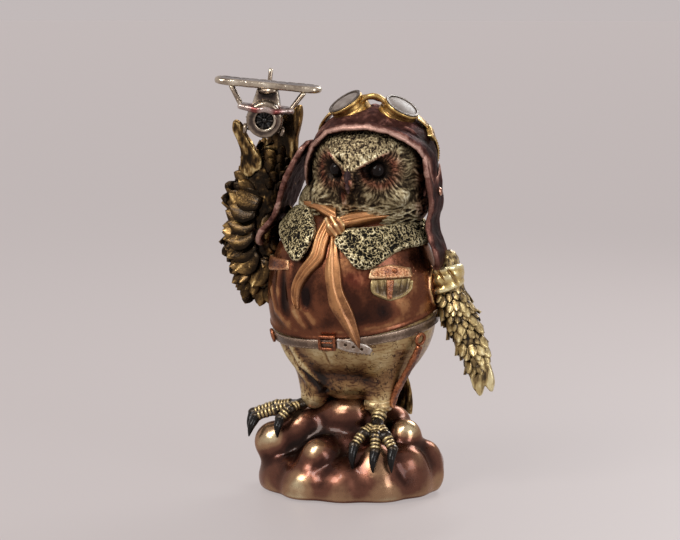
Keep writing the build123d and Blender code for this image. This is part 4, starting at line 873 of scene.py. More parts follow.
flap_low, flap_high = (np.array(corner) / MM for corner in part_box("right_ear_flap"))
tab_at = (flap_low[0] + 4, (flap_low[1] + flap_high[1]) / 2, flap_low[2] + 5)
cast_piece("left_flap", helmet_leather, "left_ear_flap", base=0.4, swell=(5, 0.4))
cast_piece("right_flap", helmet_leather, "right_ear_flap", base=0.34, swell=(4, 0.4), pits=(1.2, 0.16),
           stain=[(ellipsoid(tab_at, (6, 14, 6)), 0.4)])

# %% [markdown]
# ## Fleece collar
# The sheepskin collar is modelled as raised curls over a dark ground. The curls are the ridges of
# folded noise: where smooth noise crosses zero it leaves winding lines, as worms do in wood.

# %% Collars
fleece = paint("fleece", [
    (0.0, (0.005, 0.005, 0.005)), (0.36, (0.014, 0.012, 0.009)), (0.5, (0.12, 0.09, 0.042)),
    (0.64, (0.42, 0.34, 0.18)), (0.9, (0.74, 0.66, 0.44))],
    metallic=0.5, roughness=0.36, coat=0.0, mottle=(6, 0.1), grain=(0.6, 0.08), bump=(0.5, 0.2), shine=0.2,
    edge=(0.6, 0.5, 0.35))


def curled(spots, size=1.9, seed=20):
    """Height of winding curls of fleece, from 0 in the pits to 1 on the curls."""
    warped = spots + np.stack([noise(spots, 3.4, seed + n) for n in (3, 4, 5)], 1) * 0.8
    first = 1 - 6.0 * np.abs(noise(warped, size, seed))
    second = 1 - 7.0 * np.abs(noise(warped, size * 0.9, seed + 1))
    return np.clip(np.maximum(first, second), -0.2, 1)


for name, node in (("left_collar_fleece", "left_collar"), ("right_collar_fleece", "right_collar"),
        ("back_collar_fleece", "back_collar")):
    clay = clay_from(node, 0.38, 2)
    points, faces, normals = clay.skin()
    curls = curled(points)
    points = points + normals * (0.1 + 0.7 * (curls - 0.5))[:, None]
    relief = 0.08 + 0.62 * curls + 0.5 * clay.openness(points, 5) + 0.08 * noise(points, 9, 2)
    place_piece(name, points, faces, fleece, relief, node)

# %% [markdown]
# ## Laying feathers with Geometry Nodes
# Each wing is covered with dozens of small overlapping feathers. One feather is modelled, and a
# node tree scatters it over the wing's clay: Poisson spacing keeps the feathers apart, the surface
# normal and a flow attribute turn each one, and a seeded random value varies size and tone.

# %% One feather
def close_sheet(top, low):
    """One closed skin from two grids of points that share their rim."""
    rows, columns = top.shape[:2]
    i, j = np.meshgrid(np.arange(rows - 1), np.arange(columns - 1), indexing="ij")
    a = (i * columns + j).ravel()
    quads = np.stack([a, a + 1, a + columns + 1, a + columns], 1)
    count = rows * columns
    rim = np.concatenate([np.arange(columns - 1), np.arange(rows - 1) * columns + columns - 1,
                          (rows - 1) * columns + np.arange(columns - 1, 0, -1),
        np.arange(rows - 1, 0, -1) * columns])
    ahead = np.roll(rim, -1)
    wall = np.stack([rim + count, ahead + count, ahead, rim], 1)
    return np.concatenate([top.reshape(-1, 3), low.reshape(-1, 3)]), np.concatenate([quads,
        quads[:, ::-1] + count, wall])


def feather(length=1.0, width=0.75, crown=0.16, rows=8, across=6):
    """A crowned leaf with its root at the origin and its tip along +Y, closed underneath."""
    t, u = np.meshgrid(np.sin(np.linspace(0, math.pi / 2, rows)), np.linspace(-1, 1, across + 1),
        indexing="ij")
    half = width / 2 * np.clip(1 - np.clip((t - 0.45) / 0.55, 0, 1) ** 2.4, 0,
        1) ** 0.5 * np.clip(0.55 + 1.2 * t, 0, 1)
    half[-1] = 0.02
    x = u * half
    y = t * length
    z = crown * (1 - u ** 2) * (0.35 + 0.65 * t) + 0.10 * t ** 2 - 0.03 * np.exp(-(u / 0.12) ** 2)
    top = np.stack([x, y, z], -1)
    under = np.stack([x, y, z - crown * (1 - u ** 2) - 0.07 * (1 - np.abs(u)) - 0.02], -1)
    mark = 0.2 + 0.5 * t ** 0.7 + 0.12 * np.cos(u * 14) - 0.35 * np.exp(
        -((1 - np.abs(u)) / 0.16) ** 2) * (t < 0.8)
    return *close_sheet(top, under), np.concatenate([mark.ravel(), mark.ravel() * 0.3])


spots, sides, mark = feather()
feather_form = make_object("feather_form", spots / MM, sides, relief=mark)
print("one feather has", len(sides), "faces")

# %% Node trees from tables
def node_group(name, sockets, nodes, wires):
    """A Geometry Nodes group from its input sockets, its nodes with their settings, and its wires."""
    tree = bpy.data.node_groups.new(name, "GeometryNodeTree")
    for label, kind in sockets.items():
        tree.interface.new_socket(label, in_out="INPUT", socket_type="NodeSocket" + kind)
    tree.interface.new_socket("Made", in_out="OUTPUT", socket_type="NodeSocketGeometry")
    made = {"given": tree.nodes.new("NodeGroupInput"), "result": tree.nodes.new("NodeGroupOutput")}
    for label, (kind, settings) in nodes.items():
        node = made[label] = tree.nodes.new(kind)
        for key, value in settings.items():
            if isinstance(key, str) and hasattr(node, key):
                setattr(node, key, value)
            else:
                node.inputs[key].default_value = value
    for wire in wires:
        (start, out), (end, into) = (side.split(".") for side in wire.split(" > "))
        out, into = (int(socket) if socket.isdigit() else socket for socket in (out, into))
        tree.links.new(made[start].outputs[out], made[end].inputs[into])
    return tree


def run_tree(tree, carrier, *marks, **inputs):
    """Runs a tree on a carrier, removes it, and returns points in millimetres, faces and marks."""
    modifier = carrier.modifiers.new("grow", "NODES")
    modifier.node_group = tree
    for item in tree.interface.items_tree:
        if item.in_out == "INPUT" and item.name in inputs:
            modifier[item.identifier] = inputs[item.name]
    carrier.update_tag()
    data = bpy.data.meshes.new_from_object(carrier.evaluated_get(bpy.context.evaluated_depsgraph_get()))
    bpy.data.objects.remove(carrier)
    spots, loops = np.empty(len(data.vertices) * 3, np.float32), np.empty(len(data.loops), np.int32)
    data.vertices.foreach_get("co", spots)
    data.loops.foreach_get("vertex_index", loops)
    read = [np.empty(len(data.vertices), np.float32) for _ in marks]
    for mark, values in zip(marks, read):
        data.attributes[mark].data.foreach_get("value", values)
    bpy.data.meshes.remove(data)
    return spots.reshape(-1, 3) / MM, loops.reshape(-1, 4), *read


SHARED_SOCKETS = {"Form": "Object", "Spacing": "Float", "Size": "Float", "Seed": "Int", "Paint": "Material"}
SHARED_NODES = {
    "form": ("GeometryNodeObjectInfo", {}), "lay": ("GeometryNodeInstanceOnPoints", {}),
    "grow": ("ShaderNodeMath", {"operation": "MULTIPLY"}),
    "real": ("GeometryNodeRealizeInstances", {}), "finish": ("GeometryNodeSetMaterial", {}),
}
SHARED_WIRES = [
    "given.Form > form.Object", "form.Geometry > lay.Instance", "turn.Rotation > lay.Rotation",
    "given.Seed > vary.Seed", "vary.1 > grow.0", "real.Geometry > finish.Geometry",
    "given.Paint > finish.Material", "finish.Geometry > result.Made",
]


def attribute(label, kind="FLOAT"):
    """A node that reads a named attribute."""
    return "GeometryNodeInputNamedAttribute", {"data_type": kind, "Name": label}


# %% The node tree that lays feathers
DENSEST = 2.0e6
lay_feathers = node_group("lay_feathers", {"Surface": "Geometry", "Lift": "Float", **SHARED_SOCKETS}, {
    **SHARED_NODES, "cover": attribute("cover"), "flow": attribute("flow", "FLOAT_VECTOR"),
    "spread": ("GeometryNodeDistributePointsOnFaces",
    {"distribute_method": "POISSON", "Density Max": DENSEST}),
    "turn": ("FunctionNodeAxesToRotation", {"primary_axis": "Z", "secondary_axis": "Y"}),
    "vary": ("FunctionNodeRandomValue", {"data_type": "FLOAT", 2: 0.72, 3: 1.3}),
    "tilt": ("GeometryNodeRotateInstances", {"Local Space": True}), "lean": ("ShaderNodeCombineXYZ", {}),
    "tone": ("GeometryNodeStoreNamedAttribute", {"data_type": "FLOAT", "domain": "INSTANCE", "Name": "tone"}),
    "shade": ("FunctionNodeRandomValue", {"data_type": "FLOAT"}),
}, SHARED_WIRES + [
    "given.Surface > spread.Mesh", "given.Spacing > spread.Distance Min", "given.Seed > spread.Seed",
    "cover.Attribute > spread.Density Factor", "spread.Normal > turn.Primary Axis",
    "flow.Attribute > turn.Secondary Axis", "spread.Points > lay.Points", "given.Size > grow.1",
    "grow.0 > lay.Scale", "lay.Instances > tilt.Instances", "given.Lift > lean.X", "lean.0 > tilt.Rotation",
    "tilt.Instances > tone.Geometry", "given.Seed > shade.Seed", "shade.1 > tone.Value",
    "tone.Geometry > real.Geometry",
])


def lay_on(spots, sides, flow, cover, finish, spacing, size, lift, seed):
    """Feathers on a surface with their direction and cover: points, faces, groove marks and tones."""
    carrier = make_object("carrier", spots, sides, cover=cover)
    carrier.data.attributes.new("flow", "FLOAT_VECTOR", "POINT").data.foreach_set("vector",
        np.float32(flow).ravel())
    laid = run_tree(lay_feathers, carrier, "relief", "tone", Form=feather_form, Spacing=spacing * MM,
                 Size=size * MM, Lift=lift, Seed=seed, Paint=finish)
    print("laid", len(laid[1]), "faces")
    return laid

# %% [markdown]
# ## Raised wing
# The right wing is lifted to hold the aeroplane. Its outer edge is a stack of deep cupped feathers,
# its middle is downy, and two long feathers grip the toy like a finger and thumb.

# %% Raised wing
WING_LOBES = [((-46.5, 2, 106.5), (12.5, 7.5, 12)), ((-50.5, 2.5, 122), (13, 7, 15)),
    ((-48.5, 3.5, 140), (13.5, 6.5, 16)), ((-43, 4, 155), (13, 6, 12.5))]
raised_clay = Clay((-66, -10, 92), (-26, 16, 170), 0.5)
for centre, halves in WING_LOBES:
    raised_clay.add(ellipsoid(centre, halves), 3)
points, faces, normals = raised_clay.skin()
points = points + normals * (0.5 * layered(points, 4.5, 3, 40) - 0.3)[:, None]
down_relief = 0.34 + 0.5 * layered(points, 3.2, 3, 41) + 0.6 * raised_clay.openness(points,
    5) + 0.4 * noise(points * (1, 1, 0.6), 1.2, 42)
feather_bronze = paint("feather_bronze", [
    (0.0, (0.005, 0.004, 0.003)), (0.38, (0.017, 0.010, 0.005)), (0.58, (0.07, 0.04, 0.015)),
    (0.8, (0.28, 0.17, 0.06)), (1.0, (0.72, 0.54, 0.25))],
    metallic=0.75, roughness=0.3, coat=0.08, edge=(0.7, 0.5, 0.3), mottle=(8, 0.3), grain=(0.9, 0.15),
    bump=(0.8, 0.3))
outward = np.stack([points[:, 0] + 40, np.zeros(len(points)), (points[:, 2] - 136) * 0.75], 1)
outward += np.where(points[:, 2:] > 150, (0, 0, 40.0), (0, 0, 0))
flow = outward / np.linalg.norm(outward, axis=1, keepdims=True)
cover = np.clip(0.35 + (np.abs(points[:, 0] + 46) - 3) / 10, 0.1, 1.0) * (points[:, 0] < -33)
laid = lay_on(points, faces, flow, cover, feather_bronze, spacing=3.6, size=7.2, lift=0.24, seed=3)
parts, marks = [(points, faces), laid[:2]], [down_relief, 0.1 + laid[2] * 0.75 + (laid[3] - 0.5) * 0.35]

# %% Cupped feathers along its outer edge
def placed_feather(root, tip, facing, width, crown=0.22, curl=0.0):
    """One large feather from root to tip in millimetres, its crowned side towards facing."""
    spots, sides, mark = feather(1.0, 1.0, crown, 12, 8)
    root, tip, facing = (np.array(v, float) for v in (root, tip, facing))
    along = tip - root
    length = np.linalg.norm(along)
    along /= length
    across = np.cross(along, facing)
    across /= np.linalg.norm(across)
    up = np.cross(across, along)
    spots = spots * (width, length, width)
    spots[:, 2] += curl * (spots[:, 1] / length) ** 2
    return root + spots[:, :1] * across + spots[:, 1:2] * along + spots[:, 2:] * up, sides, mark


for row in range(2):
    for n in range(8):
        turn = math.radians(130 + 126 * (n + 0.5 * row) / 7)
        reach_x, reach_z = (17.6 - 3.2 * row, 29.8 - 3.2 * row)
        tip = np.array([-47 + reach_x * math.cos(turn), 3 - 1.5 * (n % 2) - 4.5 * row,
            126 + reach_z * math.sin(turn)])
        inward = np.array([-41 - tip[0], 0, (133 - tip[2]) * 0.6])
        inward /= np.linalg.norm(inward)
        for face_way in (-1, 1):
            root = tip + inward * 13 + (0, 2.6 * face_way, 1.2)
            shape = placed_feather(root, tip, (0.0, face_way, 0.7), 13.5, 0.2, 1.0 if row == 0 else 0.6)
            parts.append(shape[:2])
            marks.append(0.05 + shape[2] * 0.85 + 0.12 * math.sin(n * 2.7 + row))
points, faces = several(parts)
relief = np.concatenate(marks) + 0.14 * noise(points, 5, 44) + 0.2 * noise(points * (1, 1, 0.4), 1.1, 49)
place_piece("raised_wing_feathers", points, faces, feather_bronze, relief, "raised_wing")

# %% Finger feathers that grip the aeroplane
def streaked(name, finish, node, grain_way, cell=0.5, depth=0.35, base=0.4, seed=50):
    """A CAD solid with long cut streaks, as bark or a long feather has."""
    spots, sides, out = (clay := clay_from(node, cell)).skin()
    streaks = 0.6 * noise(spots * grain_way, 1.5, seed) + 0.4 * noise(spots * grain_way, 0.8, seed + 1)
    spots = spots + out * (streaks * depth + 0.3 * noise(spots, 8, seed + 2))[:, None]
    level = base + 0.8 * streaks + 0.8 * clay.openness(spots, 4)
    place_piece(name, spots, sides, finish, level, node)


streaked("gripping_feathers", feather_bronze, "raised_wing_fingers", (1, 1, 0.18))
streaked("tail_fan", feather_bronze, "tail_feathers", (1, 1, 0.15), seed=60)

# %% [markdown]
# ## Lowered wing
# The left wing hangs by the side in brighter gold. Its feathers overlap downwards like roof tiles.

# %% Lowered wing
LOWERED_LOBES = [((48.6, 1, 109.5), (5.6, 6.5, 10)), ((49.8, 1, 97), (6.9, 5.8, 12)),
    ((53.2, 1.3, 88), (6.4, 5.4, 11)),
                 ((57.4, 1.6, 80), (5.9, 5.0, 11.5)), ((61.4, 2, 70), (5.0, 4.4, 12))]
lowered_clay = Clay((40, -9, 54), (70, 12, 122), 0.45)
for centre, halves in LOWERED_LOBES:
    lowered_clay.add(ellipsoid(centre, halves), 3)
slit = [(57.5, -4.6, 76), (59.5, -4.2, 70), (60.8, -3.6, 65)]
lowered_clay.cut(stick(slit, [1.2, 1.8, 0.8]), 0.8)
points, faces, normals = lowered_clay.skin()
points = points + normals * (0.3 * layered(points, 3, 3, 45))[:, None]
base_relief = 0.34 + 0.35 * layered(points, 2.5, 3, 46) + 0.6 * lowered_clay.openness(points, 5)
feather_gold = paint("feather_gold", [
    (0.0, (0.008, 0.007, 0.005)), (0.3, (0.07, 0.045, 0.02)), (0.5, (0.32, 0.22, 0.09)),
    (0.75, (0.62, 0.48, 0.22)), (1.0, (0.9, 0.78, 0.45))],
    metallic=0.7, roughness=0.34, coat=0.2, mottle=(7, 0.2), grain=(0.8, 0.12), bump=(0.8, 0.25))
flow = np.tile((0.34, 0, -0.94), (len(points), 1))
cover = ((points[:, 2] < 101) & (points[:, 2] > 62)) * 1.0 * (np.min([np.linalg.norm(points - np.array(p),
    axis=1) for p in slit], 0) > 3.0)
laid = lay_on(points, faces, flow, cover, feather_gold, spacing=2.9, size=5.9, lift=0.2, seed=5)
parts, marks = [(points, faces), laid[:2]], [base_relief, 0.2 + laid[2] * 0.8 + (laid[3] - 0.5) * 0.25]
for n, (rx, rz) in enumerate([(50.5, 104), (52.5, 97), (55, 90), (58, 83), (61, 76)]):
    for face_way in (-1, 1):
        shape = placed_feather((rx, 1 + face_way * 1.5, rz), (rx + 7.0, 1 + 0.6 * n % 2, rz - 12.0),
            (0.35, face_way, 0.3), 7.4, 0.22, 0.6)
        parts.append(shape[:2])
        marks.append(0.15 + shape[2] * 0.9)
points, faces = several(parts)
relief = np.concatenate(marks) - 0.03 + 0.12 * noise(points, 5, 47) + 0.42 * noise(points * (1, 1, 0.4),
    1.1, 48)
place_piece("lowered_wing_feathers", points, faces, feather_gold, relief, "lowered_wing")
streaked("lowered_finger_feathers", feather_gold, "lowered_wing_fingers", (1, 1, 0.2), cell=0.4, depth=0.5,
    seed=64, base=0.44)
bpy.data.objects.remove(feather_form)

# %% Folded sleeve band
sleeve_clay = Clay((37, -11, 92), (58, 12, 119), 0.4)
sleeve_clay.add(ellipsoid((47.8, 1, 105.2), (7.6, 8.2, 7.0)))
for height, lean, radius in ((101.4, 1.4, 1.5), (105.6, -1.6, 1.7), (109.4, 1.0, 1.4)):
    roll = [(47.6 + 6.8 * math.cos(t), 1 + 7.4 * math.sin(t),
        height + lean * math.sin(t + height) + 1.2 * math.cos(t)) for t in np.linspace(0, 2 * math.pi, 22)]
    sleeve_clay.add(stick(roll, [radius] * 22), 2.0)
for crease in ([(44, -7.4, 110), (47, -8.6, 105.5), (51, -7.6, 100.5)],
        [(50, -6.6, 110), (53, -5.4, 106), (54.4, -3.4, 102)]):
    sleeve_clay.cut(stick(crease, [0.4, 0.9, 0.4]), 1.2)
points, faces = sleeve_clay.mesh()
sleeve_gold = paint("sleeve_gold", [(0.0, (0.02, 0.012, 0.005)), (0.35, (0.28, 0.17, 0.06)),
    (0.6, (0.7, 0.52, 0.2)), (1.0, (0.95, 0.85, 0.5))],
                    metallic=0.8, roughness=0.26, coat=0.3, mottle=(5, 0.2), grain=(0.8, 0.08),
    bump=(1, 0.15))
relief = 0.55 + 1.0 * sleeve_clay.openness(points, 3)
place_piece("sleeve_cuff", points, faces, sleeve_gold, relief, "sleeve_band")

# %% [markdown]
# ## Scarf
# The silk scarf is two folded tails and a knot. Each tail is a ruled strip between two edge lines
# that lie on the chest; waves across the strip give the folds, and it is closed underneath.

# %% Strips that lie on the chest
def smooth_line(line, count):
    """Catmull-Rom points through a line."""
    p = np.array(line, float)
    p = np.concatenate([[2 * p[0] - p[1]], p, [2 * p[-1] - p[-2]]])
    spots = []
    for t in np.linspace(0, len(line) - 1 - 1e-6, count):
        k, f = int(t), t % 1
        a, b, c, d = p[k:k + 4]
        spots.append(0.5 * (2 * b + (c - a) * f + (2 * a - 5 * b + 4 * c - d) * f * f
            + (3 * b - 3 * c + d - a) * f ** 3))
    return np.array(spots)


def strip(left, right, forms, height, count=70, across=20, sink=0.8):
    """A closed strip between two edge lines (x, z) on the frontmost of some ellipsoids."""
    a, b = smooth_line(left, count), smooth_line(right, count)
    t, u = np.meshgrid(np.linspace(0, 1, count), np.linspace(-1, 1, across + 1), indexing="ij")
    xz = a[:, None] * (1 - u[..., None]) / 2 + b[:, None] * (1 + u[..., None]) / 2
    best_y, out = None, None
    for (cx, cy, cz), (ha, hb, hc) in forms:
        inside = np.clip(1 - ((xz[..., 0] - cx) / ha) ** 2 - ((xz[..., 1] - cz) / hc) ** 2, 0.02, 1)
        y = cy - hb * np.sqrt(inside)
        n = np.stack([(xz[..., 0] - cx) / ha ** 2, (y - cy) / hb ** 2, (xz[..., 1] - cz) / hc ** 2], -1)
        n /= np.linalg.norm(n, axis=-1, keepdims=True)
        best_y, out = (y, n) if best_y is None else (np.minimum(y, best_y),
            np.where((y < best_y)[..., None], n, out))
    ground = np.stack([xz[..., 0], best_y, xz[..., 1]], -1)
    rise = height(t, u)
    spots, sides = close_sheet(ground + out * rise[..., None], ground - out * sink)
    middle = face_normals_to_points(spots, sides)[:rise.size].reshape(out.shape)
    if (middle * out).sum() < 0:
        sides = sides[:, ::-1]
    return spots, sides, np.concatenate([rise.ravel(), np.zeros(rise.size)])


def cloth_fold(thick, waves, twist=0.0):
    """Height across a strip: a thick edge that falls off at both sides, and waves along it."""
    def height(t, u):
        body = thick * np.clip((1 - np.abs(u)) / 0.12, 0, 1) ** 0.5
        fold = sum(size * np.cos((u - place - twist * t) * 3.14 / spread) * (np.abs(u - place
            - twist * t) < spread / 2) for place, size, spread in waves)
        return body + fold
    return height


scarf_gold = paint("scarf_gold", [
    (0.0, (0.03, 0.010, 0.005)), (0.3, (0.17, 0.062, 0.022)), (0.55, (0.46, 0.21, 0.08)),
    (0.8, (0.66, 0.38, 0.16)), (1.0, (0.9, 0.68, 0.38))],
    metallic=0.65, roughness=0.34, coat=0.15, mottle=(7, 0.16), grain=(0.9, 0.12), bump=(0.8, 0.22))
HIP = ((1.5, 0, 86), (39.6, 36.1, 36.6))
LEFT_TAIL = ([(-2.2, 130), (-2.0, 121.5), (-3.4, 112), (-2.0, 102.5), (-0.6, 95), (4.6, 86.5), (9.4, 79.5),
    (12.6, 75.6)],
             [(1.8, 130), (2.4, 122), (4.6, 112), (6.0, 103), (10.2, 94), (12.6, 86), (13.8, 79.5),
    (13.4, 75.4)])
RIGHT_TAIL = ([(-6.6, 135.5), (-9.8, 127.6), (-11.4, 119), (-16.4, 111.6), (-19.4, 104.8), (-19.8, 98.6),
    (-17.4, 93.0)],
              [(0.2, 134), (-2.8, 124), (-4.4, 116), (-10.4, 109.8), (-14.8, 103.6), (-16.0, 98),
    (-15.9, 93.0)])
LEFT_WRAP = ([(2.0, 134.4), (8, 136.6), (15, 137.4), (21, 136.2), (25, 134.6)],
    [(2.6, 129.8), (7, 130.6), (13, 132.2), (20, 133.2), (25, 133.9)])
RIGHT_WRAP = ([(-1.0, 138.2), (-7, 140.0), (-12, 140.6), (-17.4, 139.0)],
    [(0.4, 132.0), (-5, 134.4), (-11, 136.8), (-17.4, 137.8)])
LOW_HIP = (HIP[0], [h + 2.0 for h in HIP[1]])


def tail_level(points, rise):
    """Groove marks of a hanging tail, which grows darker downwards."""
    return 0.42 + 0.16 * (rise - 2.0) / 1.2 + 0.12 * noise(points, 4, 33) + 0.004 * (points[:, 2] - 105)


def wrap_level(points, rise):
    """Groove marks of the folds round the neck."""
    return 0.5 + 0.12 * (rise - 5.0) + 0.1 * noise(points, 4, 33)


SCARF = (
    ("scarf_left_tail", "left_scarf_tail", tail_level,
     [(LEFT_TAIL, [CHEST, LOW_HIP], cloth_fold(2.2, [(-0.35, 0.9, 0.9)], 0.25))]),
    ("scarf_right_tail", "right_scarf_tail", tail_level,
     [(RIGHT_TAIL, [CHEST], cloth_fold(2.0, [(-0.5, 0.9, 0.5), (0.2, 0.7, 0.5), (0.75, 0.8, 0.35)], -0.2))]),
    ("scarf_right_wrap", "scarf_wrap", wrap_level,
     [(LEFT_WRAP, [CHEST], cloth_fold(5.0, [(-0.4, 0.8, 0.7), (0.5, 0.7, 0.6)], 0.3)),
      (RIGHT_WRAP, [CHEST], cloth_fold(5.0, [(0.0, 0.9, 0.9)]))]),
)
for name, node, level, strips in SCARF:
    made = [strip(*edges, forms, height) for edges, forms, height in strips]
    points, faces = several([one[:2] for one in made])
    relief = np.concatenate([level(spots, rise) for spots, _, rise in made])
    place_piece(name, points, faces, scarf_gold, relief, node)

# %% Knot
knot_clay = Clay((-8, -39, 124), (8, -24, 141), 0.3)
knot_clay.add(ellipsoid((0.2, -31.8, 132), (4.6, 4.4, 5.0)))
for line in ([(-3.6, -33.5, 136.0), (-1.5, -36.0, 133.0), (1.5, -35.2, 128.6)],
        [(-1.0, -34.2, 137.0), (1.8, -36.2, 133.4), (3.4, -34.4, 129.6)],
        [(2.2, -33.4, 136.6), (4.4, -33.8, 133.4), (4.2, -32.6, 130.4)]):
    knot_clay.add(stick(line, [0.9, 1.2, 0.8]), 0.7)
points, faces = knot_clay.mesh()
relief = 0.5 + 0.9 * knot_clay.openness(points, 2.2)
place_piece("knot_folds", points, faces, scarf_gold, relief, "scarf_knot")

# %% [markdown]
# ## Stitches, scales and rivets along a line
# Sewn edges, the scales across a bird's toe and rows of rivets are all one small form repeated
# along a line. A second node tree does that: it turns a path into a curve, cuts it into equal
# steps, and sets a form on each step, turned by the path's direction and its up attribute.

# %% Small forms to repeat
def arched(spread, half_length, crown, low_crown, columns=8, rows=4):
    """A band bent round the z axis: a scale over a toe. Its top faces along +X."""
    v, u = np.meshgrid(np.linspace(-1, 1, rows + 1), np.linspace(-1, 1, columns + 1), indexing="ij")
    turn = np.radians(spread) * u
    grids = []
    for rise in (crown, low_crown):
        radius = 1 + rise * (1 - v ** 2) * (1 - 0.5 * u ** 4)
        grids.append(np.stack([radius * np.cos(turn), radius * np.sin(turn),
            v * half_length * (1 - 0.25 * u ** 2)], -1))
    points, sides = close_sheet(*grids)
    level = (0.15 + 0.75 * (1 - v ** 2)) * (1 - 0.35 * u ** 2)
    return make_object("form", points / MM, sides,
        relief=np.concatenate([level.ravel(), 0.1 * np.ones(level.size)]))


def bead(length, width, height):
    """A stitch or a rivet head: a small dome that lies along z with its top along +X."""
    v, u = np.meshgrid(np.linspace(-1, 1, 7), np.linspace(-1, 1, 5), indexing="ij")
    pull = np.sqrt(np.clip(1 - v ** 2, 0.02, 1))
    dome = height * np.sqrt(np.clip(1 - u ** 2, 0, 1)) * pull
    top = np.stack([dome, u * pull * width / 2, v * length / 2], -1)
    low = np.stack([dome * 0 - 0.3 * height, u * pull * width / 2, v * length / 2], -1)
    points, sides = close_sheet(top, low)
    level = 0.25 + 0.35 * dome / height
    return make_object("form", points / MM, sides,
        relief=np.concatenate([level.ravel(), 0.2 * np.ones(level.size)]))


toe_scale = arched(118, 0.42, 0.2, -0.25)
stitch = bead(1.2, 0.5, 0.32)
rivet = bead(0.9, 0.9, 0.4)
print("scale faces", len(toe_scale.data.polygons), "stitch faces", len(stitch.data.polygons))

# %% The node tree that sets them
set_along = node_group("set_along", {"Path": "Geometry", **SHARED_SOCKETS}, {
    **SHARED_NODES, "up": attribute("up", "FLOAT_VECTOR"), "thick": attribute("thick"),
    "curve": ("GeometryNodeMeshToCurve", {}), "steps": ("GeometryNodeResampleCurve", {"mode": "LENGTH"}),
    "along": ("GeometryNodeInputTangent", {}), "size": ("ShaderNodeMath", {"operation": "MULTIPLY"}),
    "turn": ("FunctionNodeAxesToRotation", {"primary_axis": "Z", "secondary_axis": "X"}),
    "vary": ("FunctionNodeRandomValue", {"data_type": "FLOAT", 2: 0.93, 3: 1.07}),
}, SHARED_WIRES + [
    "given.Path > curve.Mesh", "curve.Curve > steps.Curve", "given.Spacing > steps.Length",
    "steps.Curve > lay.Points", "along.Tangent > turn.Primary Axis", "up.Attribute > turn.Secondary Axis",
    "thick.Attribute > grow.1", "grow.0 > size.0", "given.Size > size.1", "size.0 > lay.Scale",
    "lay.Instances > real.Geometry",
])


def set_on(lines, ups, form, spacing, finish, thick=None, seed=1):
    """Runs the tree on some lines and returns points, faces and groove marks, in millimetres."""
    thick = thick or [[1.0] * len(line) for line in lines]
    data = bpy.data.meshes.new("path")
    starts = np.cumsum([0] + [len(line) for line in lines])
    edges = [(s + k, s + k + 1) for s, line in zip(starts, lines) for k in range(len(line) - 1)]
    data.from_pydata([tuple(np.array(p) * MM) for line in lines for p in line], edges, [])
    data.attributes.new("up", "FLOAT_VECTOR", "POINT").data.foreach_set("vector",
        np.float32([u for up in ups for u in up]).ravel())
    data.attributes.new("thick", "FLOAT", "POINT").data.foreach_set("value",
        np.float32([t for part in thick for t in part]))
    carrier = bpy.data.objects.new("path", data)
    bpy.context.collection.objects.link(carrier)
    return run_tree(set_along, carrier, "relief", Form=form, Spacing=spacing * MM, Size=MM, Seed=seed,
        Paint=finish)

# %% [markdown]
# ## Feet
# Each toe is a tapered rod over a knuckle, banded by scales and ended by a thick black claw. The
# dark wash stays between the scales, so each one reads as a separate band.

# %% Toes with scales
RIGHT_ANKLE, LEFT_ANKLE, LEFT_INSTEP = (-21, -14, 43), (18.8, -18, 41), (18.4, -22.5, 36.5)
FEET = {
    "right": ([RIGHT_ANKLE], [([(-36, -9, 40.5), (-48, -10, 36.5)], (-49.5, -12, 26.5)),
    ([(-34, -17, 39.5), (-44, -18.5, 36)], (-46.5, -22.5, 27)),
                              ([(-26, -20, 41), (-30, -23.5, 36.5)], (-30.5, -27, 28))]),
    "left": ([LEFT_ANKLE, LEFT_INSTEP], [([(14, -30, 32.5), (10.6, -35.5, 27.4)], (10.4, -38, 16)),
    ([(20, -31, 31.5), (21, -36, 25)], (20.8, -39, 15.5)),
                                         ([(24.5, -29, 31.5), (29, -33, 26)], (29.3, -36.5, 15.6))]),
}
TOE_RADII = (2.3, 2.1, 1.9)
toe_gold = paint("toe_gold", [
    (0.0, (0.006, 0.004, 0.003)), (0.35, (0.04, 0.024, 0.010)), (0.58, (0.19, 0.12, 0.045)),
    (0.8, (0.46, 0.34, 0.15)), (1.0, (0.82, 0.7, 0.42))],
    metallic=0.7, roughness=0.33, coat=0.25, mottle=(5, 0.15), grain=(0.7, 0.12), bump=(0.7, 0.25))
claw_black = paint("claw_black", [(0.0, (0.004, 0.003, 0.003)), (0.6, (0.012, 0.010, 0.009)),
    (1.0, (0.04, 0.034, 0.03))],
                   metallic=0.0, roughness=0.2, coat=0.14, mottle=(4, 0.15), grain=(0.7, 0.08),
    bump=(0.6, 0.1), coat_roughness=0.06, shine=0.12)
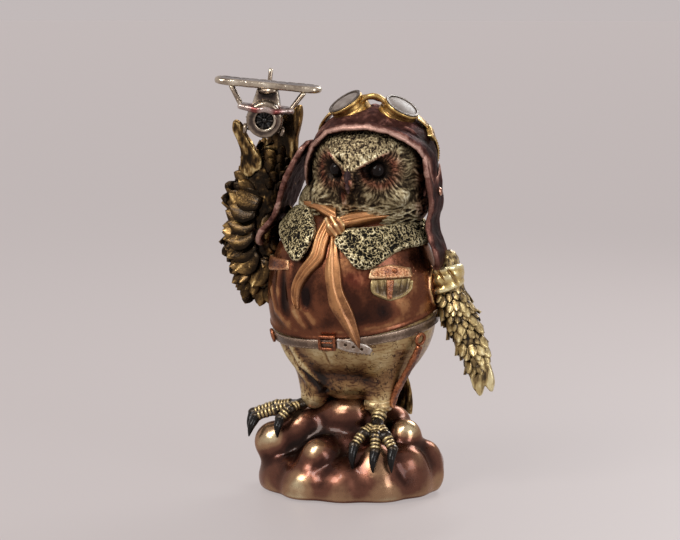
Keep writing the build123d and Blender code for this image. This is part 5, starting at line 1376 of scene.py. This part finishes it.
for side, (shank, toes) in FEET.items():
    joints = np.array([p for p in shank] + [p for knuckles, tip in toes for p in knuckles])
    foot_clay = Clay(joints.min(0) - 6, joints.max(0) + 6, 0.4)
    claw_clay = Clay(np.minimum(joints.min(0), [t for _, t in toes]).min(0) - 3, joints.max(0) + 3, 0.28)
    lines, ups, thick = [], [], []
    if len(shank) > 1:
        foot_clay.add(stick([(17, -14, 45), *shank], [3.6, 3.2, 3.0]), 1)
        lines.append(smooth_line([(17, -14, 44.5), *shank], 7))
        ups.append([(0.1, -1, 0.5)] * 7)
        thick.append([3.2] * 5 + [3.0, 2.8])
    for knuckles, tip in toes:
        bones = [shank[-1], *knuckles]
        foot_clay.add(stick(smooth_line(bones, 9), np.interp(np.linspace(0, 2, 9), [0, 1, 2], TOE_RADII)),
            1.4)
        foot_clay.add(ellipsoid(knuckles[0], (3.1, 3.1, 2.9)), 1.2)
        path = smooth_line(bones, 13)[3:]
        along = np.gradient(path, axis=0)
        lines.append(path)
        ups.append(np.cross(np.cross(along, (0, -0.45, 1)), along))
        thick.append(np.interp(np.linspace(0, 1, len(path)), [0, 0.35, 1], [2.3, 2.5, 2.0]))
        end, point = np.array(knuckles[-1], float), np.array(tip, float)
        middle = 0.55 * end + 0.45 * point + (0, -2.4, 0)
        horn = smooth_line([end, middle, point], 12)
        claw_clay.add(stick(horn, 0.4 + 2.05 * (1 - np.linspace(0, 1, 12) ** 1.6)), 0.3)
        foot_clay.add(ellipsoid(end, (2.7, 2.7, 2.5)), 0.8)
    points, faces, normals = foot_clay.skin()
    points = points + normals * (0.12 * layered(points, 2, 2, 70))[:, None]
    relief = 0.12 + 0.3 * foot_clay.openness(points, 3) + 0.15 * noise(points, 1.5, 71)
    spots, sides, mark = set_on(lines, ups, toe_scale, 1.75, toe_gold, thick, seed=7)
    print(side, "foot scales", len(sides) // len(toe_scale.data.polygons))
    points, faces = several([(points, faces), (spots, sides)])
    place_piece(side + "_toes", points, faces, toe_gold, np.concatenate([relief, mark]), side + "_foot")
    points, faces = claw_clay.mesh()
    relief = 0.45 + 0.3 * claw_clay.openness(points, 2) + 0.15 * noise(points * (1, 1, 0.3), 0.8, 72)
    place_piece(side + "_talons", points, faces, claw_black, relief, side + "_claws")

# %% Ankle cuff
cuff_clay = Clay((7, -25, 38), (28, -3, 50), 0.4)
for height, radius in ((42.6, 5.6), (44.2, 6.2), (45.6, 5.8)):
    ring = [(17 + radius * math.cos(t), -14 + radius * math.sin(t),
        height + 0.4 * math.sin(2 * t + height)) for t in np.linspace(0, 2 * math.pi, 20)]
    cuff_clay.add(stick(ring, [1.0] * 20), 0.9)
cuff_clay.add(ellipsoid((17, -14, 44), (5.6, 5.6, 2.2)), 1)
for n in range(12):
    t = 2 * math.pi * n / 12 + 0.2 * math.sin(n * 3)
    cuff_clay.cut(stick([(17 + 7.4 * math.cos(t), -14 + 7.4 * math.sin(t), h) for h in (41.6, 46.4)],
        [0.45, 0.3]), 0.7)
points, faces = cuff_clay.mesh()
relief = 0.62 + 0.9 * cuff_clay.openness(points, 2.5) + 0.1 * noise(points, 2, 73)
place_piece("breeches_cuff", points, faces, breeches_gold, relief, "ankle_cuff")

# %% [markdown]
# ## Belt and harness
# A flat webbing belt runs under the jacket's hem, with a copper frame buckle, a punched tongue,
# two rings, and a strap that goes down to the leg. The belt's line is where a slanted plane meets
# the round body, found by halving, and the same line carries its stitches.

# %% Lines round the body
def line_round(form, point, up, first, last, count, out=0.0):
    """Points and normals where a plane meets an ellipsoid, between two angles in degrees."""
    (cx, cy, cz), (a, b, c) = form[0], [h + out for h in form[1]]
    found, normals = [], []
    for t in np.radians(np.linspace(first, last, count)):
        low, high = -0.999, 0.999
        for _ in range(40):
            h = (low + high) / 2
            w = math.sqrt(1 - h * h)
            spot = np.array([cx + a * w * math.cos(t), cy + b * w * math.sin(t), cz + c * h])
            low, high = (h, high) if (spot - point) @ np.array(up) < 0 else (low, h)
        n = (spot - (cx, cy, cz)) / np.array([a, b, c]) ** 2
        found.append(spot)
        normals.append(n / np.linalg.norm(n))
    return found, normals


belt_pewter = paint("belt_pewter", [
    (0.0, (0.012, 0.008, 0.006)), (0.35, (0.12, 0.078, 0.052)), (0.6, (0.33, 0.235, 0.17)),
    (1.0, (0.62, 0.55, 0.48))],
    metallic=0.75, roughness=0.34, coat=0.15, mottle=(9, 0.25), grain=(0.7, 0.15), bump=(0.6, 0.25))
copper_trim = paint("copper_trim", [
    (0.0, (0.012, 0.005, 0.003)), (0.35, (0.13, 0.038, 0.014)), (0.6, (0.34, 0.11, 0.042)),
    (1.0, (0.7, 0.32, 0.14))],
    metallic=0.75, roughness=0.33, coat=0.2, mottle=(4, 0.3), grain=(0.6, 0.35), bump=(0.6, 0.3))


BELT_ROUND = ((1.5, 0, 86), (40, 36.5, 37))
below_hem = np.array(HEM_UP) / np.linalg.norm(HEM_UP)
belt_lines = [line_round(BELT_ROUND, np.array(HEM_POINT) - below_hem * drop, HEM_UP, -200, 30, 150,
    1.55) for drop in (1.3, 4.5)]
cast_piece("webbing_belt", belt_pewter, "waist_belt", belt_lines, cell=0.45, swell=(9, 0.15), base=0.5)

# %% Buckle, tongue, rings and strap
cast_piece("buckle_frame_casting", copper_trim, "buckle_frame", cell=0.25, swell=(3, 0.08))
cast_piece("buckle_pin", copper_trim, "buckle_prong", cell=0.2, swell=(3, 0.04))
tongue_holes = [(6.5, 76.9), (10.0, 76.0), (13.5, 75.0)]


def punch_tongue(clay):
    """Three eyelet holes through the belt's free end."""
    for hole_x, hole_z in tongue_holes:
        at, deep = on_front(BELT_ROUND, hole_x, hole_z, 1.2), on_front(BELT_ROUND, hole_x, hole_z, 4.5)
        clay.cut(stick([at, deep], [0.75, 0.75]), 0.25)


tongue_edge = [(3.4, 78.6), (9.0, 77.8), (15.8, 75.9), (18.2, 74.0), (17.0, 72.2), (9.2, 73.4), (3.4, 75.2)]
tongue_spots = [on_front(BELT_ROUND, px, pz, 2.75) for px, pz in tongue_edge]
tongue_line = (smooth_line(tongue_spots, 60), np.tile(on_front(BELT_ROUND, 10, 76, 1.0)
    - on_front(BELT_ROUND, 10, 76), (60, 1)))
cast_piece("belt_free_end", belt_pewter, "belt_tongue", [tongue_line], cell=0.3, swell=(5, 0.1), base=0.8,
    carve=punch_tongue)
cast_piece("harness_rings", copper_trim, "strap_rings", cell=0.22, swell=(2, 0.05), base=0.55)
cast_piece("harness_strap", copper_trim, "leg_strap", cell=0.35, swell=(5, 0.3), base=0.5, pits=(1.0, 0.22))

# %% [markdown]
# ## Pockets
# The chest pocket has a gathered bag, a speckled copper flap with a button, and a strap down its
# middle. The other pocket shows only its flap. Edges are rolled, and the speckle is a fine grain
# with a strong contrast in the same paint recipe.

# %% Pockets
pocket_gold = paint("pocket_gold", [
    (0.0, (0.012, 0.007, 0.003)), (0.3, (0.075, 0.042, 0.014)), (0.55, (0.22, 0.145, 0.05)),
    (1.0, (0.55, 0.43, 0.2))],
    metallic=0.6, roughness=0.36, coat=0.2, mottle=(5, 0.2), grain=(0.6, 0.2), bump=(0.7, 0.3))
pocket_flap_copper = paint("pocket_flap_copper", [
    (0.0, (0.03, 0.010, 0.005)), (0.35, (0.2, 0.06, 0.022)), (0.6, (0.5, 0.21, 0.085)),
    (1.0, (0.86, 0.58, 0.32))],
    metallic=0.65, roughness=0.36, coat=0.2, mottle=(4, 0.2), grain=(0.5, 0.8), bump=(0.5, 0.35))


def gather(clay):
    """Pleats that fan down the pocket's bag, and a roll along its lower edge."""
    for top_x, low_x in ((20.6, 22.2), (23.2, 24.4), (31.0, 30.4), (33.4, 32.6)):
        clay.cut(stick(front_line(CHEST, [(top_x, 108), ((top_x + low_x) / 2, 104), (low_x, 100.5)], 1.9),
            [0.5, 0.5, 0.2]), 0.5)
    edge = smooth_line(front_line(CHEST, [(18.8, 106), (19.4, 102), (22.6, 99.9), (27.2, 98.2),
        (31.6, 99.6), (34.4, 102.2), (34.8, 106)], 1.4), 30)
    clay.add(stick(edge, [0.55] * 30), 0.6)


def flap_seam(outline, out, count=60):
    """A stitch line on the chest that follows an outline (x, z)."""
    spots = smooth_line(front_line(CHEST, outline, out), count)
    lifted = smooth_line(front_line(CHEST, outline, out + 1), count)
    return spots, lifted - spots


cast_piece("pocket_bag", pocket_gold, "chest_pocket", cell=0.35, carve=gather, base=0.48)
flap_edge = flap_seam([(18.9, 112.0), (18.9, 109.4), (27.0, 109.3), (34.9, 109.4), (34.3, 111.8)], 2.7)
cast_piece("pocket_flap_cover", pocket_flap_copper, "pocket_flap", [flap_edge], cell=0.35, pits=(0.8, 0.16),
    swell=(4, 0.2), base=0.72)
cast_piece("pocket_tab", pocket_flap_copper, "pocket_strap", cell=0.25, pits=(0.8, 0.14), swell=(3, 0.1),
    base=0.42)
cast_piece("far_pocket_flap", pocket_flap_copper, "right_pocket_flap", cell=0.35, pits=(0.8, 0.12),
    swell=(4, 0.25), base=0.45)

# %% Button and flap studs
def tube(centre, axis, inner, outer, low, high, edge=0.3):
    """Distance from a round tube about an axis, with rounded edges. A disc has inner = -outer."""
    c = np.float32(centre)
    up = np.float32(axis) / np.linalg.norm(axis)

    def away(x, y, z):
        dx, dy, dz = x - c[0], y - c[1], z - c[2]
        along = dx * up[0] + dy * up[1] + dz * up[2]
        out = np.sqrt(np.maximum(dx * dx + dy * dy + dz * dz - along * along, 0))
        across = np.abs(out - (inner + outer) / 2) - (outer - inner) / 2 + edge
        height = np.abs(along - (low + high) / 2) - (high - low) / 2 + edge
        return np.minimum(np.maximum(across, height), 0) + np.hypot(np.maximum(across, 0),
            np.maximum(height, 0)) - edge
    span = np.hypot(outer, max(abs(low), abs(high)))
    return away, c - span, c + span


stud_copper = paint("stud_copper", [
    (0.0, (0.02, 0.008, 0.006)), (0.4, (0.25, 0.1, 0.06)), (0.7, (0.6, 0.33, 0.22)), (1.0, (0.9, 0.66, 0.5))],
    metallic=0.85, roughness=0.24, coat=0.3, mottle=(3, 0.15), grain=(0.6, 0.08), bump=(0.6, 0.1))
cast_piece("pocket_stud", copper_trim, "pocket_button", cell=0.18, swell=(2, 0.03), base=0.6)
cast_piece("flap_stud_heads", stud_copper, "flap_studs", cell=0.25, swell=(2, 0.03), base=0.6)

# %% [markdown]
# ## Goggles
# The goggles are pushed up on the helmet. Each cup is a turned brass tube with a lip, a groove and
# a flange. A dark rim holds the frosted lens, and a strap with a slider runs behind the head.

# %% Goggles
GOGGLES = [((-1.4, -8, 191), (-0.44, -0.38, 0.81)), ((26.8, -6, 189), (0.52, -0.22, 0.82))]
goggle_gold = paint("goggle_gold", [
    (0.0, (0.03, 0.016, 0.006)), (0.35, (0.2, 0.105, 0.03)), (0.6, (0.5, 0.31, 0.095)),
    (1.0, (0.88, 0.68, 0.32))],
    metallic=0.85, roughness=0.28, coat=0.1, mottle=(4, 0.2), grain=(0.7, 0.08), bump=(0.7, 0.12))
goggle_rim = paint("goggle_rim", [(0.0, (0.006, 0.005, 0.005)), (0.5, (0.03, 0.022, 0.02)),
    (1.0, (0.12, 0.09, 0.07))],
                   metallic=0.3, roughness=0.3, coat=0.05, mottle=(4, 0.3), grain=(0.6, 0.15),
    bump=(0.6, 0.15), shine=0.2)
lens_frost = paint("lens_frost", [(0.0, (0.07, 0.053, 0.045)), (0.35, (0.16, 0.125, 0.105)),
    (0.65, (0.28, 0.235, 0.205)), (1.0, (0.42, 0.38, 0.35))],
                   metallic=0.0, roughness=0.5, coat=0.04, mottle=(6, 0.45), grain=(1.2, 0.12),
    bump=(2.0, 0.08), coat_roughness=0.1)
cups = Clay((-15, -21, 176), (40, 8, 202), 0.35)
rims = Clay((-15, -21, 176), (40, 8, 202), 0.3)
glass = Clay((-15, -21, 176), (40, 8, 202), 0.3)
for centre, facing in GOGGLES:
    cups.add(tube(centre, facing, 7.4, 8.7, -9, 0.0))
    cups.add(tube(centre, facing, 8.2, 9.0, -1.6, -0.1))
    cups.add(tube(centre, facing, 8.0, 9.7, -9.0, -4.2, 0.6), 0.8)
    cups.cut(tube(centre, facing, 8.9, 10.6, -3.6, -3.0, 0.1), 0.2)
    rims.add(tube(centre, facing, 7.4, 8.9, -0.2, 0.7, 0.35))
    rims.cut(tube(centre, facing, 8.0, 8.4, 0.5, 1.2, 0.1), 0.2)
    one = Clay((-15, -21, 176), (40, 8, 202), 0.3)
    one.add(ellipsoid(np.array(centre) + np.array(facing) * (1.2 - 23.4), (23.4, 23.4, 23.4)))
    one.keep(tube(centre, facing, -7.5, 7.5, -1.2, 2.5, 0.1), 0.1)
    glass.field = np.minimum(glass.field, one.field)
for name, node, slot, finish, clay, base in (("goggle_housings", "goggle_cups", "goggle_gold", goggle_gold,
        cups, 0.46),
                                             ("goggle_bezels", "goggle_rims", "goggle_rim", goggle_rim,
        rims, 0.45),
                                             ("goggle_glass", "goggle_lenses", "lens", lens_frost, glass,
        0.5)):
    points, faces = clay.mesh()
    relief = base + (0.6 * clay.openness(points, 1.6) if base != 0.5 else 0) + 0.1 * noise(points, 3, 80)
    place_piece(name, points, faces, finish, relief, node, slot=slot)
BRIDGE = smooth_line([(7.0, -8.8, 191.0), (10, -9.6, 193.2), (13.1, -9.8, 194.0), (16.4, -9.2, 193.0),
    (19.4, -8.0, 190.2)], 16)
cast_piece("goggle_nose_bridge", goggle_gold, "goggle_bridge", cell=0.25, swell=(3, 0.1), base=0.6,
     carve=lambda clay: clay.add(stick(BRIDGE, [1.35] * len(BRIDGE)), 0.5))
STRAP_PLANE = np.array([0, 0, 182.0])
strap_up = np.array([0, 1, 1]) / math.sqrt(2)
strap_lines = [line_round(DOME, STRAP_PLANE + strap_up * off, strap_up, 8, 158, 90, 1.5) for off in (-2.1,
    2.1)]
cast_piece("goggle_strap_band", goggle_gold, "goggle_strap", strap_lines, cell=0.4, swell=(6, 0.15), base=0.5)
cast_piece("goggle_strap_slider", goggle_gold, "strap_slider", cell=0.25, swell=(3, 0.1), base=0.6)

# %% [markdown]
# ## Toy aeroplane
# The little high-wing aeroplane is a pewter casting. Its solids come from the CAD frame; ribs,
# panel lines, window panes and rivets are cut into the clay or set on it.

# %% The aeroplane's own frame
def turn_matrix(axis, degrees):
    return np.array(mathutils.Matrix.Rotation(math.radians(degrees), 3, axis))


PLANE_AT = np.array([-41, -12, 181.5])
PLANE_TURN = turn_matrix("Z", 15) @ turn_matrix("X", 8) @ turn_matrix("Y", 5.7)


def on_plane(*spots):
    """Places given in the aeroplane's frame, which has Y from nose to tail, as figurine places."""
    return [PLANE_AT + PLANE_TURN @ np.array(s, float) for s in spots]


def axis_of_plane():
    return PLANE_TURN @ np.array([0, 1.0, 0])


plane_pewter = paint("plane_pewter", [
    (0.0, (0.014, 0.010, 0.008)), (0.3, (0.085, 0.062, 0.05)), (0.55, (0.29, 0.225, 0.165)),
    (0.8, (0.56, 0.48, 0.37)), (1.0, (0.88, 0.81, 0.66))],
    metallic=0.88, roughness=0.2, coat=0.2, mottle=(6, 0.25), grain=(0.9, 0.08), bump=(0.8, 0.12))
plane_red = paint("plane_red", [(0.0, (0.03, 0.016, 0.014)), (0.35, (0.2, 0.13, 0.115)),
    (0.6, (0.44, 0.35, 0.31)), (1.0, (0.85, 0.76, 0.7))],
                  metallic=0.75, roughness=0.24, coat=0.4, mottle=(4, 0.15), grain=(0.7, 0.08),
    bump=(0.8, 0.1), tint=(0.42, 0.1, 0.09))


def red_roots(spots):
    """How red the low wing is: most where it meets the fuselage."""
    across = (spots - PLANE_AT) @ PLANE_TURN[:, 0]
    return np.exp(-((np.abs(across) - 5.5) / 3.0) ** 2)


intake_black = paint("intake_black", [(0.0, (0.003, 0.003, 0.003)), (0.5, (0.02, 0.018, 0.016)),
    (1.0, (0.16, 0.14, 0.12))],
                     metallic=0.6, roughness=0.35, coat=0.2, mottle=(3, 0.2), grain=(0.5, 0.15),
    bump=(0.6, 0.2))


def wing_ribs(clay):
    """Fabric pulled over ribs: shallow grooves across the wing, above and below."""
    for x in np.arange(-23, 24, 4.6):
        clay.cut(stick(on_plane((x, 8.4, 18.0), (x, 15.0, 18.0)), [0.5, 0.5]), 0.5)
    clay.cut(stick(on_plane((-25.5, 12.6, 17.9), (25.5, 12.6, 17.9)), [0.35, 0.35]), 0.3)


def cowl_lips(clay):
    """A raised ring round the intake, a panel line, and a shallow dish."""
    nose, back = on_plane((0, 0, 0))[0], axis_of_plane()
    clay.add(tube(nose, back, 4.5, 5.8, -0.5, 1.2, 0.4), 0.3)
    clay.cut(tube(nose, back, 8.75, 9.6, 3.6, 4.1, 0.1), 0.2)


def cabin_panes(clay):
    """A domed brow over one windscreen line, and a pane in each side."""
    clay.add(ellipsoid(on_plane((0, 6.2, 13.6))[0], (4.6, 2.0, 1.6)), 0.8)
    clay.cut(stick(on_plane((-6.0, 6.2, 12.3), (6.0, 6.2, 12.3)), [0.5, 0.5]), 0.3)
    for x in (-6.2, 6.2):
        clay.cut(ellipsoid(on_plane((x, 13.0, 11.2))[0], (1.0, 4.2, 2.0)), 0.3)


def panel_lines(clay):
    """Hoops round the fuselage."""
    for y in (14, 22, 30, 38):
        radius = 8.4 + (y - 6) * (2.4 - 8.4) / 40
        clay.cut(tube(on_plane((0, y, (y - 6) / 20))[0], axis_of_plane(), radius - 0.25, radius + 1.5,
            -0.25, 0.25, 0.1), 0.2)


def wing_root(clay):
    """The low wing's leading edge carries on across the top of the cowling."""
    spots = on_plane((-12.5, 2.6, 5.4), (-8, 0.2, 5.2), (-4, -1.0, 4.9), (0, -1.2, 5.6), (4, -1.0, 4.9),
        (8, 0.2, 5.2), (12.5, 2.6, 5.4))
    clay.add(stick(smooth_line(spots, 30), [1.5] * 30), 0.6)


def round_hub(clay):
    """A groove round each wheel's hub."""
    for x in (-9.2, 9.2):
        centre = on_plane((x, 5, -5.8))[0]
        clay.cut(tube(centre, PLANE_TURN @ np.array([1.0, 0, 0]), 1.0, 1.6, -2, 2, 0.1), 0.2)


cowl_ring = [on_plane((9.0 * math.cos(t), 4.8, 9.0 * math.sin(t)))[0] for t in np.linspace(0, 2 * math.pi,
    49)]
cowl_out = [PLANE_TURN @ np.array([math.cos(t), 0, math.sin(t)]) for t in np.linspace(0, 2 * math.pi, 49)]
cast_piece("toy_cowling", plane_pewter, "plane_cowling", [(cowl_ring, cowl_out)], rivet, 3.1, cell=0.35,
    carve=cowl_lips, swell=(5, 0.2), base=0.44)
cast_piece("toy_fuselage", plane_pewter, "plane_fuselage", cell=0.4, carve=panel_lines, swell=(6, 0.2),
    base=0.45)
pane_places = on_plane((-6.2, 13, 11.2), (6.2, 13, 11.2), (-2.2, 6.2, 13.8), (2.2, 6.2, 13.8))
cast_piece("toy_cabin", plane_pewter, "plane_cabin", cell=0.35, carve=cabin_panes, swell=(5, 0.15), base=0.5,
     stain=[(ellipsoid(p, (2.7, 2.7, 2.4)), -0.5) for p in pane_places])
cast_piece("toy_top_wing", plane_pewter, "plane_top_wing", cell=0.4, carve=wing_ribs, swell=(6, 0.2),
    base=0.52)
cast_piece("toy_low_wing", plane_red, "plane_low_wing", cell=0.3, carve=wing_root, swell=(4, 0.15),
    base=0.6, wash=red_roots)
for name, node, cell, base, swell, carve in (
        ("toy_struts", "plane_struts", 0.28, 0.55, (3, 0.1), None),
        ("toy_tail", "plane_tail", 0.35, 0.55, (5, 0.15), None),
        ("toy_undercarriage", "plane_undercarriage", 0.25, 0.5, (3, 0.08), None),
        ("toy_wheels", "plane_wheels", 0.22, 0.5, (3, 0.05), round_hub)):
    cast_piece(name, plane_pewter, node, cell=cell, base=base, swell=swell, carve=carve)

# %% Engine in the intake
engine_clay = clay_from("plane_engine", 0.3)
hub = on_plane((0, 1.2, 0))[0]
engine_clay.add(ellipsoid(hub, (1.5, 1.5, 1.5)), 0.3)
for n in range(7):
    t = 2 * math.pi * n / 7
    engine_clay.add(stick(on_plane((1.6 * math.cos(t), 1.3, 1.6 * math.sin(t)),
        (3.7 * math.cos(t), 1.3, 3.7 * math.sin(t))), [0.5, 0.8]), 0.2)
points, faces = engine_clay.mesh()
relief = 0.3 + 0.8 * engine_clay.openness(points, 1.5)
place_piece("toy_engine", points, faces, intake_black, relief, "plane_engine")
for form in (toe_scale, stitch, rivet):
    bpy.data.objects.remove(form)

# %% [markdown]
# ## Felt and dowels
# These two solids already have their true shape in the frame, so they keep it and only get a
# finish: dark felt under the mound, and bright steel for the dowels inside the castings.

# %% Felt and steel
felt = paint("felt", [(0.0, (0.02, 0.014, 0.011)), (0.5, (0.06, 0.043, 0.034)), (1.0, (0.13, 0.1, 0.08))],
             metallic=0.0, roughness=0.85, coat=0.0, mottle=(6, 0.2), grain=(0.4, 0.5), bump=(0.4, 0.9),
    relief=False)
pin_steel = paint("pin_steel", [(0.0, (0.2, 0.2, 0.2)), (0.5, (0.42, 0.42, 0.43)), (1.0, (0.65, 0.65, 0.66))],
                  metallic=1.0, roughness=0.25, coat=0.0, mottle=(5, 0.1), grain=(0.4, 0.2),
    bump=(0.4, 0.2), relief=False)
for node, finish in (("felt_sheet", felt), ("dowel_pins", pin_steel)):
    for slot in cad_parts[node].material_slots:
        slot.material = finish
    print(node, "keeps its solid, finish", finish.name)
